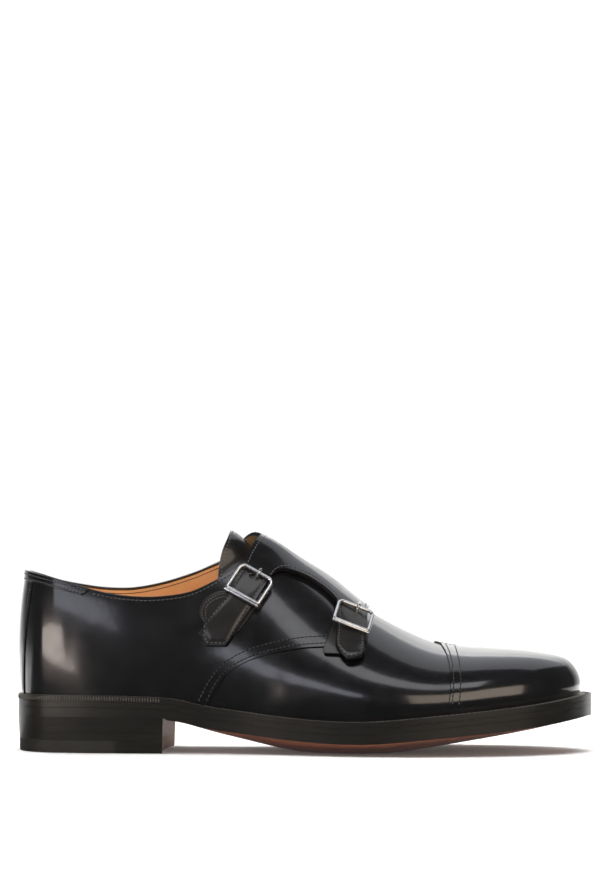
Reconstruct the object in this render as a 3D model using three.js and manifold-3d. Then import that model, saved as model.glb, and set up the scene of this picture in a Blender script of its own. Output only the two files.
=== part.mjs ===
// A right-foot double monk strap shoe: welted double leather sole, stacked heel,
// closed upper with a straight toe cap, and a strap panel that buckles on the outer side.
// Millimetres, +X towards the toe, +Z up, -Y the outer (lateral) side of the foot.
// In the tables x is counted from the back of the heel; the group is shifted at the end
// so that the origin is the middle of the heel's ground face.
import * as THREE from 'three';
import { mergeVertices } from 'three/addons/utils/BufferGeometryUtils.js';
import Module from 'manifold-3d';

const wasm = await Module();
wasm.setup();

// ---- driving sizes ----
const SOLE_LENGTH = 309;
const HEEL_RADIUS = 31.5;
const HEEL_BREAST = 82;
const HEEL_HEIGHT = 18.9;
const TOP_PIECE = 6.7;
const LIFT_COUNT = 3;
const WELT_THICKNESS = 3.2;
const MIDSOLE_THICKNESS = 3.2;
const OUTSOLE_THICKNESS = 5.2;
const INSOLE_RISE = 2.4;
const WALL = 2.4;
const GAP = 0.3;
const LINING_LEDGE = WALL + GAP;
const CAP_LIFT = 0.45;
const CAP_THICKNESS = 1.1;
const TONGUE_THICKNESS = 2.4;
const STRAP_THICKNESS = 2.1;
const STRAP_LIFT = 2.4;
const TAB_THICKNESS = 1.4;
const WIRE = 2.2;
const THROAT_CLOSE = 138;
const HEEL_CENTRE = 34;

// Sole outline seen from above, its edge height and its shape underneath.
// margin: how far the upper stands in from the sole's edge; top: height of the welt's top;
// crown: how far the middle of the bottom hangs below the edge.
const SOLE = [
  { x: 34, lateral: 31.8, medial: 31.4, margin: 3.0, top: 30.5, crown: 0.0 },
  { x: 60, lateral: 34.0, medial: 32.6, margin: 3.0, top: 30.3, crown: 0.0 },
  { x: 86, lateral: 34.0, medial: 30.4, margin: 3.2, top: 29.0, crown: 0.4 },
  { x: 104, lateral: 34.0, medial: 27.6, margin: 3.4, top: 25.2, crown: 2.4 },
  { x: 124, lateral: 36.4, medial: 27.2, margin: 3.8, top: 22.4, crown: 4.8 },
  { x: 150, lateral: 43.0, medial: 31.0, margin: 4.6, top: 19.4, crown: 7.4 },
  { x: 175, lateral: 49.4, medial: 38.6, margin: 5.4, top: 17.9, crown: 8.4 },
  { x: 195, lateral: 52.4, medial: 45.4, margin: 5.8, top: 18.2, crown: 8.4 },
  { x: 215, lateral: 52.8, medial: 50.0, margin: 6.2, top: 19.9, crown: 7.4 },
  { x: 235, lateral: 50.6, medial: 50.8, margin: 6.8, top: 21.8, crown: 6.0 },
  { x: 255, lateral: 46.0, medial: 48.4, margin: 7.2, top: 23.8, crown: 4.4 },
  { x: 275, lateral: 38.2, medial: 43.2, margin: 7.4, top: 26.0, crown: 2.8 },
  { x: 290, lateral: 28.6, medial: 35.8, margin: 7.4, top: 28.1, crown: 1.4 },
  { x: 300, lateral: 18.8, medial: 27.6, margin: 7.4, top: 29.9, crown: 0.6 },
  { x: 306, lateral: 9.0, medial: 18.8, margin: 7.4, top: 31.0, crown: 0.2 },
];
const TOE_TIP = { x: SOLE_LENGTH, y: 5.0 };

// Cross sections of the last, one row for each station along the ridge.
// ridge, shift: height and sideways place of the ridge; fullness: exponent of the quarter
// curve between welt and ridge; outer, inner: how far the wall swells on each side.
const SECTIONS = [
  { x: 30, ridge: 128.0, shift: 0.0, fullness: 3.0, outer: 1.2, inner: 1.2 },
  { x: 40, ridge: 127.4, shift: 0.1, fullness: 2.4, outer: 0.4, inner: 0.8 },
  { x: 60, ridge: 126.0, shift: 0.2, fullness: 2.12, outer: 0.0, inner: 1.0 },
  { x: 90, ridge: 121.5, shift: 0.8, fullness: 2.02, outer: 0.4, inner: 3.2 },
  { x: 112, ridge: 115.8, shift: 1.4, fullness: 1.9, outer: 1.2, inner: 5.4 },
  { x: 125, ridge: 111.8, shift: 1.8, fullness: 1.8, outer: 1.6, inner: 6.4 },
  { x: 138, ridge: 106.2, shift: 2.2, fullness: 1.72, outer: 1.6, inner: 6.2 },
  { x: 150, ridge: 100.0, shift: 2.8, fullness: 1.7, outer: 2.6, inner: 5.4 },
  { x: 167, ridge: 90.4, shift: 3.6, fullness: 1.76, outer: 3.2, inner: 4.2 },
  { x: 187, ridge: 76.2, shift: 4.8, fullness: 1.88, outer: 3.2, inner: 3.0 },
  { x: 208, ridge: 64.6, shift: 6.2, fullness: 2.08, outer: 2.8, inner: 2.2 },
  { x: 225, ridge: 57.6, shift: 7.0, fullness: 2.3, outer: 2.2, inner: 2.0 },
  { x: 240, ridge: 55.0, shift: 7.2, fullness: 2.5, outer: 1.8, inner: 1.8 },
  { x: 256, ridge: 54.0, shift: 6.6, fullness: 2.7, outer: 1.6, inner: 1.6 },
  { x: 272, ridge: 52.8, shift: 5.6, fullness: 2.8, outer: 1.4, inner: 1.4 },
  { x: 285, ridge: 50.4, shift: 4.8, fullness: 2.8, outer: 1.2, inner: 1.2 },
];

// Height of the collar's edge on each side of the foot.
const TOPLINE = [
  { x: -4, outer: 96.8, inner: 96.8 },
  { x: 6, outer: 96.2, inner: 95.4 },
  { x: 16, outer: 94.0, inner: 91.6 },
  { x: 35, outer: 88.6, inner: 88.0 },
  { x: 47, outer: 85.2, inner: 86.8 },
  { x: 60, outer: 83.0, inner: 87.0 },
  { x: 76, outer: 82.4, inner: 90.0 },
  { x: 94, outer: 84.7, inner: 95.6 },
  { x: 106, outer: 89.8, inner: 100.6 },
  { x: 120, outer: 98.0, inner: 106.0 },
  { x: 130, outer: 103.9, inner: 108.6 },
  { x: 138, outer: 107.4, inner: 108.6 },
];

// ---- small helpers ----

// Smooth curve through the rows of a table, read at x (cubic pieces, no overshoot at the ends).
function row(table, column, x) {
  const last = table.length - 1;
  const clamped = Math.min(Math.max(x, table[0].x), table[last].x);
  let k = 0;
  while (k < last - 1 && clamped > table[k + 1].x) k += 1;
  const slope = (i) => {
    const a = table[Math.max(i - 1, 0)];
    const b = table[Math.min(i + 1, last)];
    return (b[column] - a[column]) / (b.x - a.x);
  };
  const span = table[k + 1].x - table[k].x;
  const f = (clamped - table[k].x) / span;
  const f2 = f * f;
  const f3 = f2 * f;
  return (2 * f3 - 3 * f2 + 1) * table[k][column] + (f3 - 2 * f2 + f) * span * slope(k)
    + (3 * f2 - 2 * f3) * table[k + 1][column] + (f3 - f2) * span * slope(k + 1);
}

function smooth(from, to, value) {
  return THREE.MathUtils.smoothstep(value, from, to);
}

// Turns a geometry's triangles into one closed solid, faces pointing out.
function toSolid(geometry) {
  const plain = geometry.index ? geometry.toNonIndexed() : geometry.clone();
  plain.deleteAttribute('normal');
  plain.deleteAttribute('uv');
  const merged = mergeVertices(plain, 1e-4);
  const points = merged.attributes.position.array;
  const kept = [];
  let volume = 0;
  for (let i = 0; i < merged.index.count; i += 3) {
    const [a, b, c] = [0, 1, 2].map((n) => merged.index.getX(i + n));
    if (a === b || b === c || a === c) continue;
    kept.push(a, b, c);
    const [p, q, r] = [a, b, c].map((n) => new THREE.Vector3().fromArray(points, 3 * n));
    volume += p.dot(q.cross(r));
  }
  if (volume < 0) kept.reverse();
  return new wasm.Manifold(new wasm.Mesh({
    numProp: 3,
    vertProperties: new Float32Array(points),
    triVerts: new Uint32Array(kept),
  }));
}

function toGeometry(solid) {
  const mesh = solid.getMesh();
  const geometry = new THREE.BufferGeometry();
  geometry.setAttribute('position', new THREE.BufferAttribute(new Float32Array(mesh.vertProperties), 3));
  geometry.setIndex(new THREE.BufferAttribute(new Uint32Array(mesh.triVerts), 1));
  return geometry;
}

// Collects quads and triangles of points into one geometry.
class Faces {
  constructor() {
    this.numbers = [];
  }

  triangle(a, b, c) {
    for (const p of [a, b, c]) this.numbers.push(p.x, p.y, p.z);
  }

  quad(a, b, c, d) {
    this.triangle(a, b, c);
    this.triangle(a, c, d);
  }

  // A wall between two rows of points.
  strip(low, high) {
    for (let i = 0; i + 1 < low.length; i += 1) this.quad(low[i], low[i + 1], high[i + 1], high[i]);
  }

  // The same wall seen from behind, split along the same diagonals.
  stripBack(low, high) {
    for (let i = 0; i + 1 < low.length; i += 1) this.quad(low[i], high[i], high[i + 1], low[i + 1]);
  }

  geometry() {
    const result = new THREE.BufferGeometry();
    result.setAttribute('position', new THREE.Float32BufferAttribute(this.numbers, 3));
    return result;
  }
}

// A closed slab between two grids of points, grid[i][j].
function slab(outer, inner) {
  const faces = new Faces();
  const first = (grid) => grid[0];
  const last = (grid) => grid[grid.length - 1];
  const edge = (grid, j) => grid.map((line) => (j < 0 ? line[line.length - 1] : line[0]));
  for (let i = 0; i + 1 < outer.length; i += 1) {
    faces.strip(outer[i], outer[i + 1]);
    faces.stripBack(inner[i], inner[i + 1]);
  }
  faces.strip(first(inner), first(outer));
  faces.strip(last(outer), last(inner));
  faces.strip(edge(outer, 0), edge(inner, 0));
  faces.strip(edge(inner, -1), edge(outer, -1));
  return toSolid(faces.geometry());
}

const steps = (count, from = 0, to = 1) =>
  Array.from({ length: count + 1 }, (_, i) => from + ((to - from) * i) / count);

// ---- the sole's outline ----

// One smooth closed line: heel arc, outer side, toe tip, inner side.
function outlineCurve() {
  const points = [];
  const arc = [0, 30, 60].map((degrees) => THREE.MathUtils.degToRad(degrees));
  const arcX = (angle) => HEEL_RADIUS * (1 - Math.cos(angle));
  for (const angle of arc) points.push(new THREE.Vector3(arcX(angle), -HEEL_RADIUS * Math.sin(angle), 0));
  for (const station of SOLE) points.push(new THREE.Vector3(station.x, -station.lateral, 0));
  points.push(new THREE.Vector3(TOE_TIP.x, TOE_TIP.y, 0));
  for (const station of [...SOLE].reverse()) points.push(new THREE.Vector3(station.x, station.medial, 0));
  for (const angle of arc.slice(1).reverse()) {
    points.push(new THREE.Vector3(arcX(angle), HEEL_RADIUS * Math.sin(angle), 0));
  }
  return new THREE.CatmullRomCurve3(points, true, 'catmullrom', 0.5);
}

const OUTLINE_SAMPLES = 720;
const outline = outlineCurve().getPoints(OUTLINE_SAMPLES).slice(0, OUTLINE_SAMPLES);

// The outline moved inwards by a distance that may change along the sole, split into two sides.
function insetSides(distanceAt) {
  const moved = outline.map((point, i) => {
    const before = outline[(i + OUTLINE_SAMPLES - 1) % OUTLINE_SAMPLES];
    const after = outline[(i + 1) % OUTLINE_SAMPLES];
    const along = after.clone().sub(before).normalize();
    return new THREE.Vector2(point.x - along.y * distanceAt(point.x), point.y + along.x * distanceAt(point.x));
  });
  const tip = moved.reduce((best, point, i) => (point.x > moved[best].x ? i : best), 0);
  const outer = moved.slice(0, tip + 1);
  const inner = [...moved.slice(tip), moved[0]].reverse();
  return { outer, inner, back: moved[0].x, front: moved[tip].x };
}

// Sideways place of one side of an inset outline at x.
function sideY(line, x) {
  let low = 0;
  let high = line.length - 1;
  while (high - low > 1) {
    const middle = (low + high) >> 1;
    if (line[middle].x <= x) low = middle;
    else high = middle;
  }
  const span = Math.max(line[high].x - line[low].x, 1e-9);
  const f = Math.min(Math.max((x - line[low].x) / span, 0), 1);
  return line[low].y + f * (line[high].y - line[low].y);
}

const marginAt = (x) => row(SOLE, 'margin', x);
const weltTop = (x) => row(SOLE, 'top', x);
const feather = insetSides(marginAt);

// Station u runs round the shoe: 0 heel back, 0 to 1 outer side, 1 toe tip, 1 to 2 inner side.
function station(sides, u) {
  const turn = ((u % 2) + 2) % 2;
  const outerSide = turn <= 1;
  const q = outerSide ? turn : 2 - turn;
  const x = sides.back + (sides.front - sides.back) * (1 - Math.cos(Math.PI * q)) / 2;
  return { x, y: sideY(outerSide ? sides.outer : sides.inner, x), outerSide };
}

// ---- the last: a surface point for station u and climb t (0 welt, 1 ridge, 2 other welt) ----

const HEEL_FAN = 60;
const TOE_FAN = 230;
const RIDGE_BACK = 30;
const RIDGE_FRONT = 285;

// Stations fan out at the heel and the toe, so ridge points lie further in than welt points.
function ridgeX(x) {
  if (x < HEEL_FAN) {
    const depth = HEEL_FAN - feather.back;
    const pull = (depth - (HEEL_FAN - RIDGE_BACK)) / (depth * depth);
    return x + pull * (HEEL_FAN - x) ** 2;
  }
  if (x > TOE_FAN) {
    const depth = feather.front - TOE_FAN;
    const pull = (depth - (RIDGE_FRONT - TOE_FAN)) / (depth * depth);
    return x - pull * (x - TOE_FAN) ** 2;
  }
  return x;
}

function skinPoint(u, t) {
  if (t > 1) return skinPoint(2 - u, 2 - t);
  const foot = station(feather, u);
  const x = ridgeX(foot.x);
  const ridge = new THREE.Vector3(x, row(SECTIONS, 'shift', x), row(SECTIONS, 'ridge', x));
  const n = row(SECTIONS, 'fullness', x);
  const angle = Math.max(t, 0) * Math.PI / 2;
  const reach = (Math.cos(angle) ** n + Math.sin(angle) ** n) ** (-1 / n);
  const across = reach * Math.cos(angle);
  const climb = reach * Math.sin(angle);
  const out = new THREE.Vector2(foot.x - ridge.x, foot.y - ridge.y);
  const width = Math.max(out.length(), 1e-6);
  const swell = row(SECTIONS, foot.outerSide ? 'outer' : 'inner', x) * 6.75 * climb * (1 - climb) ** 2;
  const stretch = across + swell / width;
  const low = weltTop(foot.x) + GAP;
  return new THREE.Vector3(
    ridge.x + out.x * stretch,
    ridge.y + out.y * stretch,
    low + climb * (ridge.z - low),
  );
}

function skinNormal(u, t) {
  const du = 0.004;
  const dt = 0.006;
  const alongU = skinPoint(u + du, t).sub(skinPoint(u - du, t));
  const alongT = skinPoint(u, t + dt).sub(skinPoint(u, Math.max(t - dt, 0)));
  return alongU.cross(alongT).normalize();
}

// Surface point moved out by lift, kept clear of the welt below.
function skin(u, t, lift) {
  const point = skinPoint(u, t).addScaledVector(skinNormal(u, t), lift);
  point.z = Math.max(point.z, weltTop(point.x) + GAP);
  return point;
}

// Station number whose ridge lies at x, on the outer (0 to 1) or inner (1 to 2) side.
function stationAt(x, outerSide) {
  let low = 0;
  let high = 1;
  for (let i = 0; i < 40; i += 1) {
    const middle = (low + high) / 2;
    if (ridgeX(station(feather, middle).x) < x) low = middle;
    else high = middle;
  }
  return outerSide ? low : 2 - low;
}

// Climb at which the wall of station u reaches the collar's edge.
function collarClimb(u) {
  const { x, outerSide } = station(feather, u);
  if (x >= THROAT_CLOSE - 0.01) return 1;
  const column = outerSide ? 'outer' : 'inner';
  let low = 0.2;
  let high = 1;
  for (let i = 0; i < 40; i += 1) {
    const middle = (low + high) / 2;
    const point = skinPoint(u, middle);
    if (point.z < row(TOPLINE, column, point.x)) low = middle;
    else high = middle;
  }
  return low;
}

// Climb at which station u reaches a given height.
function climbAt(u, z) {
  let low = 0;
  let high = 1;
  for (let i = 0; i < 40; i += 1) {
    const middle = (low + high) / 2;
    if (skinPoint(u, middle).z < z) low = middle;
    else high = middle;
  }
  return low;
}

// ---- upper: one hollow wall, open at the collar and underneath ----
// A grown copy, thicker by grow on both faces, cuts the room that its neighbours leave.
function upper(grow = 0) {
  const rows = 10;
  const throat = stationAt(THROAT_CLOSE, true);
  const half = [...steps(18, 0, throat), ...steps(20, throat, 1).slice(1)];
  const stations = [...half, ...half.slice(0, -1).reverse().map((u) => 2 - u)];
  const edge = (u) => Math.min(collarClimb(u) + grow * 0.01, 1);
  const grid = (lift) => stations.map((u) => steps(rows, 0, edge(u)).map((t) => skin(u, t, lift)));
  const outside = grid(grow);
  const inside = grid(-WALL - grow);
  const faces = new Faces();
  for (let i = 0; i + 1 < stations.length; i += 1) {
    faces.strip(outside[i], outside[i + 1]);
    faces.stripBack(inside[i], inside[i + 1]);
    faces.quad(outside[i][0], outside[i + 1][0], inside[i + 1][0], inside[i][0]);
    const open = edge(stations[i]) < 1 || edge(stations[i + 1]) < 1;
    if (open) faces.quad(inside[i][rows], inside[i + 1][rows], outside[i + 1][rows], outside[i][rows]);
  }
  return toSolid(faces.geometry());
}

// ---- sole layers ----
const RINGS = [0, 0.4, 0.75, 1];

function centreY(x) {
  return (sideY(feather.outer, x) + sideY(feather.inner, x)) / 2;
}

// Grid of points over an inset outline at the height that heightAt gives.
function plateGrid(sides, heightAt, stations) {
  return stations.map((u) => {
    const edge = station(sides, u);
    const middleX = ridgeX(Math.min(Math.max(edge.x, feather.back), feather.front));
    const middle = { x: middleX, y: centreY(middleX) };
    return RINGS.map((f) => {
      const x = middle.x + f * (edge.x - middle.x);
      const y = middle.y + f * (edge.y - middle.y);
      return new THREE.Vector3(x, y, heightAt(x, f));
    });
  });
}

// A plate whose top and bottom follow the crowned bottom of the last.
function plate(sides, topAt, bottomAt, count = 26) {
  const stations = steps(2 * count, 0, 2);
  const high = plateGrid(sides, topAt, stations);
  const low = plateGrid(sides, bottomAt, stations);
  const faces = new Faces();
  const rim = RINGS.length - 1;
  for (let i = 0; i + 1 < stations.length; i += 1) {
    faces.strip(high[i], high[i + 1]);
    faces.stripBack(low[i], low[i + 1]);
    faces.quad(low[i][rim], low[i + 1][rim], high[i + 1][rim], high[i][rim]);
  }
  return faces;
}

// The middle line is shared by both sides, so the top and bottom each close on it.
const plateSolid = (...sizes) => toSolid(plate(...sizes).geometry());

const crownDrop = (x, f) => row(SOLE, 'crown', x) * (1 - f * f);
const layer = (drop) => (x, f) => weltTop(x) - drop - crownDrop(x, f);
const fullOutline = insetSides(() => 0);
const SOLE_STACK = WELT_THICKNESS + MIDSOLE_THICKNESS + OUTSOLE_THICKNESS;

// The bottom is flat where the ball of the foot stands, and flat above the heel.
function outsole() {
  const bottom = (x, f) => Math.max(0, layer(SOLE_STACK)(x, f));
  const top = layer(WELT_THICKNESS + MIDSOLE_THICKNESS + GAP);
  const seatEnd = HEEL_BREAST + GAP;
  const heelRoom = sideBlock([[-9, -9], [seatEnd, -9], [seatEnd, HEEL_HEIGHT], [-9, HEEL_HEIGHT]], -60, 60);
  return plateSolid(fullOutline, top, bottom).subtract(heelRoom);
}

function midsole() {
  return plateSolid(fullOutline, layer(WELT_THICKNESS + GAP), layer(WELT_THICKNESS + MIDSOLE_THICKNESS));
}

function insole() {
  const inside = insetSides((x) => marginAt(x) + LINING_LEDGE + GAP);
  const top = (x, f) => weltTop(x) + INSOLE_RISE - crownDrop(x, f);
  return plateSolid(inside, top, layer(WELT_THICKNESS));
}

// Flat ring of leather sewn round the upper's foot.
function welt() {
  const inside = insetSides((x) => marginAt(x) + LINING_LEDGE);
  const stations = steps(52, 0, 2);
  const ring = (sides, drop) => stations.map((u) => {
    const { x, y } = station(sides, u);
    return new THREE.Vector3(x, y, weltTop(x) - drop);
  });
  const corners = [ring(fullOutline, 0), ring(fullOutline, WELT_THICKNESS),
    ring(inside, WELT_THICKNESS), ring(inside, 0)];
  const faces = new Faces();
  corners.forEach((line, i) => faces.strip(line, corners[(i + 1) % corners.length]));
  return toSolid(faces.geometry());
}

// ---- heel ----
// A flat heel layer: the sole's outline behind the breast, a little smaller towards the floor.
function heelLayer(bottom, top) {
  const taper = 0.05 * (HEEL_HEIGHT - bottom);
  const sides = insetSides(() => taper);
  const breast = HEEL_BREAST - 0.5 * taper;
  const stationsX = steps(11).map((f) => sides.back + (breast - sides.back) * (1 - Math.cos(f * Math.PI / 2)));
  const outerLine = stationsX.map((x) => new THREE.Vector2(x, sideY(sides.outer, x)));
  const innerLine = stationsX.slice(1).reverse().map((x) => new THREE.Vector2(x, sideY(sides.inner, x)));
  const breastHollow = new THREE.Vector2(breast - 2.5, 0);
  const shape = new THREE.Shape([...outerLine, breastHollow, ...innerLine]);
  const geometry = new THREE.ExtrudeGeometry(shape, { depth: top - bottom, bevelEnabled: false });
  geometry.translate(0, 0, bottom);
  return toSolid(geometry);
}

// ---- overlays on the upper ----

// A slab over part of the upper, from climb tStart on the outer side over the ridge to tEnd.
function overlay(stations, climbs, outerLift, innerLift) {
  const grid = (lift) => stations.map((u) => climbs.map((t) => skin(u, t, lift(u, t))));
  return slab(grid(outerLift), grid(innerLift));
}

// A block as wide as the shoe whose side view is the given list of [x, z] corners.
function sideBlock(corners, fromY, toY) {
  const shape = new THREE.Shape(corners.map(([x, z]) => new THREE.Vector2(x, z)));
  const geometry = new THREE.ExtrudeGeometry(shape, { depth: toY - fromY, bevelEnabled: false });
  geometry.rotateX(Math.PI / 2);
  geometry.translate(0, toY, 0);
  return toSolid(geometry);
}

// Points of a smooth side-view line through the given [x, z] corners.
function sideLine(corners, count) {
  const curve = new THREE.SplineCurve(corners.map(([x, z]) => new THREE.Vector2(x, z)));
  return curve.getPoints(count).map((point) => [point.x, point.y]);
}

function toeCap() {
  const from = stationAt(215, true);
  const stations = steps(24, from, 2 - from);
  const rows = 9;
  // the two halves meet on the ridge
  const faces = new Faces();
  const lines = (lift) => stations.map((u) => steps(rows).map((t) => skin(u, t, lift)));
  const outside = lines(CAP_LIFT + CAP_THICKNESS);
  const inside = lines(CAP_LIFT);
  for (let i = 0; i + 1 < stations.length; i += 1) {
    faces.strip(outside[i], outside[i + 1]);
    faces.stripBack(inside[i], inside[i + 1]);
    faces.quad(outside[i][0], outside[i + 1][0], inside[i + 1][0], inside[i][0]);
  }
  faces.strip(inside[0], outside[0]);
  faces.strip(outside[stations.length - 1], inside[stations.length - 1]);
  const backEdge = [[222, 70], ...sideLine([[224.7, 60], [231.1, 54.2], [233.8, 42.6], [233.9, 35.5], [232.5, 15]], 10)];
  return toSolid(faces.geometry()).intersect(sideBlock([...backEdge, [320, 15], [320, 70]], -70, 70));
}

// Tongue: lies inside the quarters, then climbs out between them and stands up behind the strap panel.
function tongue() {
  const back = 106;
  const front = 166;
  const stations = steps(12, back, front);
  const tuck = 0.12;
  const grid = (drop) => stations.map((x) => {
    const u = stationAt(x, true);
    const edgeOuter = collarClimb(u);
    const edgeInner = collarClimb(2 - u);
    const climbs = steps(14, Math.min(edgeOuter, 0.82) - tuck, 2 - Math.min(edgeInner, 0.84) + tuck);
    return climbs.map((t) => {
      const open = t < 1 ? t - edgeOuter : 2 - t - edgeInner;
      const rise = (LINING_LEDGE + 1.6) * smooth(0.03, 0.24, open) * (1 - smooth(118, 132, x));
      return skin(u, t, rise - LINING_LEDGE - drop);
    });
  });
  const whole = slab(grid(0), grid(TONGUE_THICKNESS));
  const profile = [...sideLine([[108, 78], [109.6, 92], [111.8, 106], [115.6, 122]], 8), [175, 122], [175, 60], [120, 60]];
  return whole.intersect(sideBlock(profile, -60, 60)).subtract(upper(GAP));
}

// Strap panel: the inner quarter carried over the instep, ending in two straps on the outer side.
const STRAP_BACK = [
  [131, 124], [129.8, 117.5], [127.4, 109.5], [123.9, 101.8], [115.8, 84.6], [103.2, 68.2],
  [102.8, 60.8], [104.7, 57.3], [114.7, 57.1], [115.9, 58.2], [128.4, 77.3], [137.6, 92.8],
  [139.4, 95.6], [145.4, 97.9], [149.7, 97], [160.7, 92.2], [168.3, 87], [173.6, 81.8],
  [174.2, 67.8], [174.3, 57.6], [179.6, 50.8], [182.1, 50.6], [187.8, 53.4], [189.1, 64.6],
  [189.8, 76.4], [190.4, 92],
];
const PANEL_INNER = [
  [131, 124], [127, 112], [116, 104], [106, 96], [104, 80], [110, 64], [140, 56], [170, 62],
  [184, 72], [190.4, 84], [190.4, 92],
];

function panelLift(x, t) {
  const onTop = [[126, 4.6], [136, 4.4], [150, 2.5], [167, 1.6], [187, 0.5]];
  const table = onTop.map(([place, lift]) => ({ x: place, lift }));
  const ridgeLift = row(table, 'lift', x);
  if (t > 1) return GAP + (ridgeLift - GAP) * (1 - smooth(1, 1.45, t));
  return STRAP_LIFT + (ridgeLift - STRAP_LIFT) * smooth(0.78, 1, t);
}

function strapPanel() {
  const xs = steps(17, 94, 194);
  const stations = xs.map((x) => stationAt(x, true));
  const climbs = steps(18, 0.3, 1.7);
  const lift = (extra) => (u, t) => panelLift(ridgeX(station(feather, u).x), t) + extra;
  const whole = overlay(stations, climbs, lift(STRAP_THICKNESS), lift(0));
  const split = 4;
  const cutter = sideBlock(STRAP_BACK, -80, split).add(sideBlock(PANEL_INNER, split, 80));
  return whole.intersect(cutter);
}

// ---- buckles ----

// Where a buckle sits: a place on the outer side with its normal, across and along directions.
function seat(x, z, slope) {
  const u = stationAt(x, true);
  const t = climbAt(u, z);
  const normal = skinNormal(u, t);
  const across = new THREE.Vector3(Math.cos(slope), 0, Math.sin(slope));
  across.y = -(across.x * normal.x + across.z * normal.z) / normal.y;
  across.normalize();
  const along = across.clone().cross(normal).normalize();
  if (along.z > 0) along.negate();
  return { origin: skinPoint(u, t), normal, across, along };
}

const FRAME_WIDTH = 21.4;
const FRAME_HEIGHT = 18.2;
const FRAME_LIFT = STRAP_LIFT + STRAP_THICKNESS + GAP + WIRE / 2;
const BUCKLES = [
  { name: 'back', x: 126.9, z: 87.0, slope: THREE.MathUtils.degToRad(-28.8) },
  { name: 'front', x: 180.8, z: 68.6, slope: THREE.MathUtils.degToRad(-20.9) },
];

// A point near a seat: a across, b along the strap (down), c above the upper.
function near(place, a, b, c) {
  return place.origin.clone()
    .addScaledVector(place.across, a)
    .addScaledVector(place.along, b)
    .addScaledVector(place.normal, c);
}

// A round bar swept through local points; closed bars join end to start.
function bar(points, radius, closed, sides = 8) {
  const count = points.length;
  const rings = points.map((point, i) => {
    const before = points[closed ? (i + count - 1) % count : Math.max(i - 1, 0)];
    const after = points[closed ? (i + 1) % count : Math.min(i + 1, count - 1)];
    const along = after.clone().sub(before).normalize();
    const sideways = new THREE.Vector3(0, 0, 1).cross(along);
    if (sideways.length() < 0.1) sideways.set(0, 1, 0).cross(along);
    sideways.normalize();
    const upward = along.clone().cross(sideways).normalize();
    return steps(sides, 0, 2 * Math.PI).slice(0, sides).map((angle) => point.clone()
      .addScaledVector(sideways, radius * Math.cos(angle))
      .addScaledVector(upward, radius * Math.sin(angle)));
  });
  const faces = new Faces();
  const loops = closed ? [...rings, rings[0]] : rings;
  for (let i = 0; i + 1 < loops.length; i += 1) {
    faces.strip([...loops[i], loops[i][0]], [...loops[i + 1], loops[i + 1][0]]);
  }
  if (!closed) {
    const cap = (ring) => {
      for (let i = 1; i + 1 < sides; i += 1) faces.triangle(ring[0], ring[i], ring[i + 1]);
    };
    cap([...rings[0]].reverse());
    cap(rings[rings.length - 1]);
  }
  return faces.geometry();
}

// Moves a geometry from local buckle directions (x across, y along, z above) to its seat.
function toSeat(geometry, place) {
  const matrix = new THREE.Matrix4().makeBasis(place.across, place.along, place.normal);
  matrix.setPosition(place.origin);
  return geometry.applyMatrix4(matrix);
}

// The frame in local directions: rounded rectangle of wire and a lower bar across its middle.
function frameLoop() {
  const halfWidth = (FRAME_WIDTH - WIRE) / 2;
  const halfHeight = (FRAME_HEIGHT - WIRE) / 2;
  const radius = 2.6;
  const points = [];
  const corners = [[1, 1, 0], [-1, 1, 90], [-1, -1, 180], [1, -1, 270]];
  for (const [sx, sy, start] of corners) {
    for (const degrees of [0, 30, 60, 90]) {
      const angle = THREE.MathUtils.degToRad(start + degrees);
      points.push(new THREE.Vector3(
        sx * (halfWidth - radius) + radius * Math.cos(angle),
        sy * (halfHeight - radius) + radius * Math.sin(angle),
        FRAME_LIFT,
      ));
    }
  }
  return points;
}

const CENTRE_BAR_LIFT = 1.35;
const CENTRE_BAR_RADIUS = 0.75;

function buckleFrame(place, grow = 0) {
  const side = (FRAME_WIDTH - WIRE) / 2;
  const drop = [[-side, FRAME_LIFT], [-side, CENTRE_BAR_LIFT], [side, CENTRE_BAR_LIFT], [side, FRAME_LIFT]];
  const pin = drop.map(([a, c]) => new THREE.Vector3(a, 0, c));
  const loop = toSolid(toSeat(bar(frameLoop(), WIRE / 2 + grow, true), place));
  const posts = [[0, 1], [1, 2], [2, 3]].map(([from, to]) => {
    const ends = [pin[from].clone(), pin[to].clone()];
    if (from === 1) {
      ends[0].x -= CENTRE_BAR_RADIUS * 0.6;
      ends[1].x += CENTRE_BAR_RADIUS * 0.6;
    }
    return toSolid(toSeat(bar(ends, CENTRE_BAR_RADIUS + grow, false), place));
  });
  return posts.reduce((sum, post) => sum.add(post), loop);
}

// Prong: from just above the centre bar, up through the strap's hole and over the top bar.
function prongPath() {
  const top = -(FRAME_HEIGHT - WIRE) / 2;
  return [
    new THREE.Vector3(0.6, -CENTRE_BAR_RADIUS - 1.1, CENTRE_BAR_LIFT),
    new THREE.Vector3(0.6, top + 3.6, CENTRE_BAR_LIFT),
    new THREE.Vector3(0.6, top + 2.7, STRAP_LIFT + STRAP_THICKNESS * 0.5),
    new THREE.Vector3(0.6, top + 1.9, FRAME_LIFT + WIRE * 0.6),
    new THREE.Vector3(0.6, top + 0.9, FRAME_LIFT + WIRE / 2 + 1.1),
    new THREE.Vector3(0.6, top - 1.2, FRAME_LIFT + WIRE / 2 + 0.9),
  ];
}

const PRONG_RADIUS = 0.75;
const prong = (place, radius = PRONG_RADIUS) => toSolid(toSeat(bar(prongPath(), radius, false, 6), place));

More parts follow.
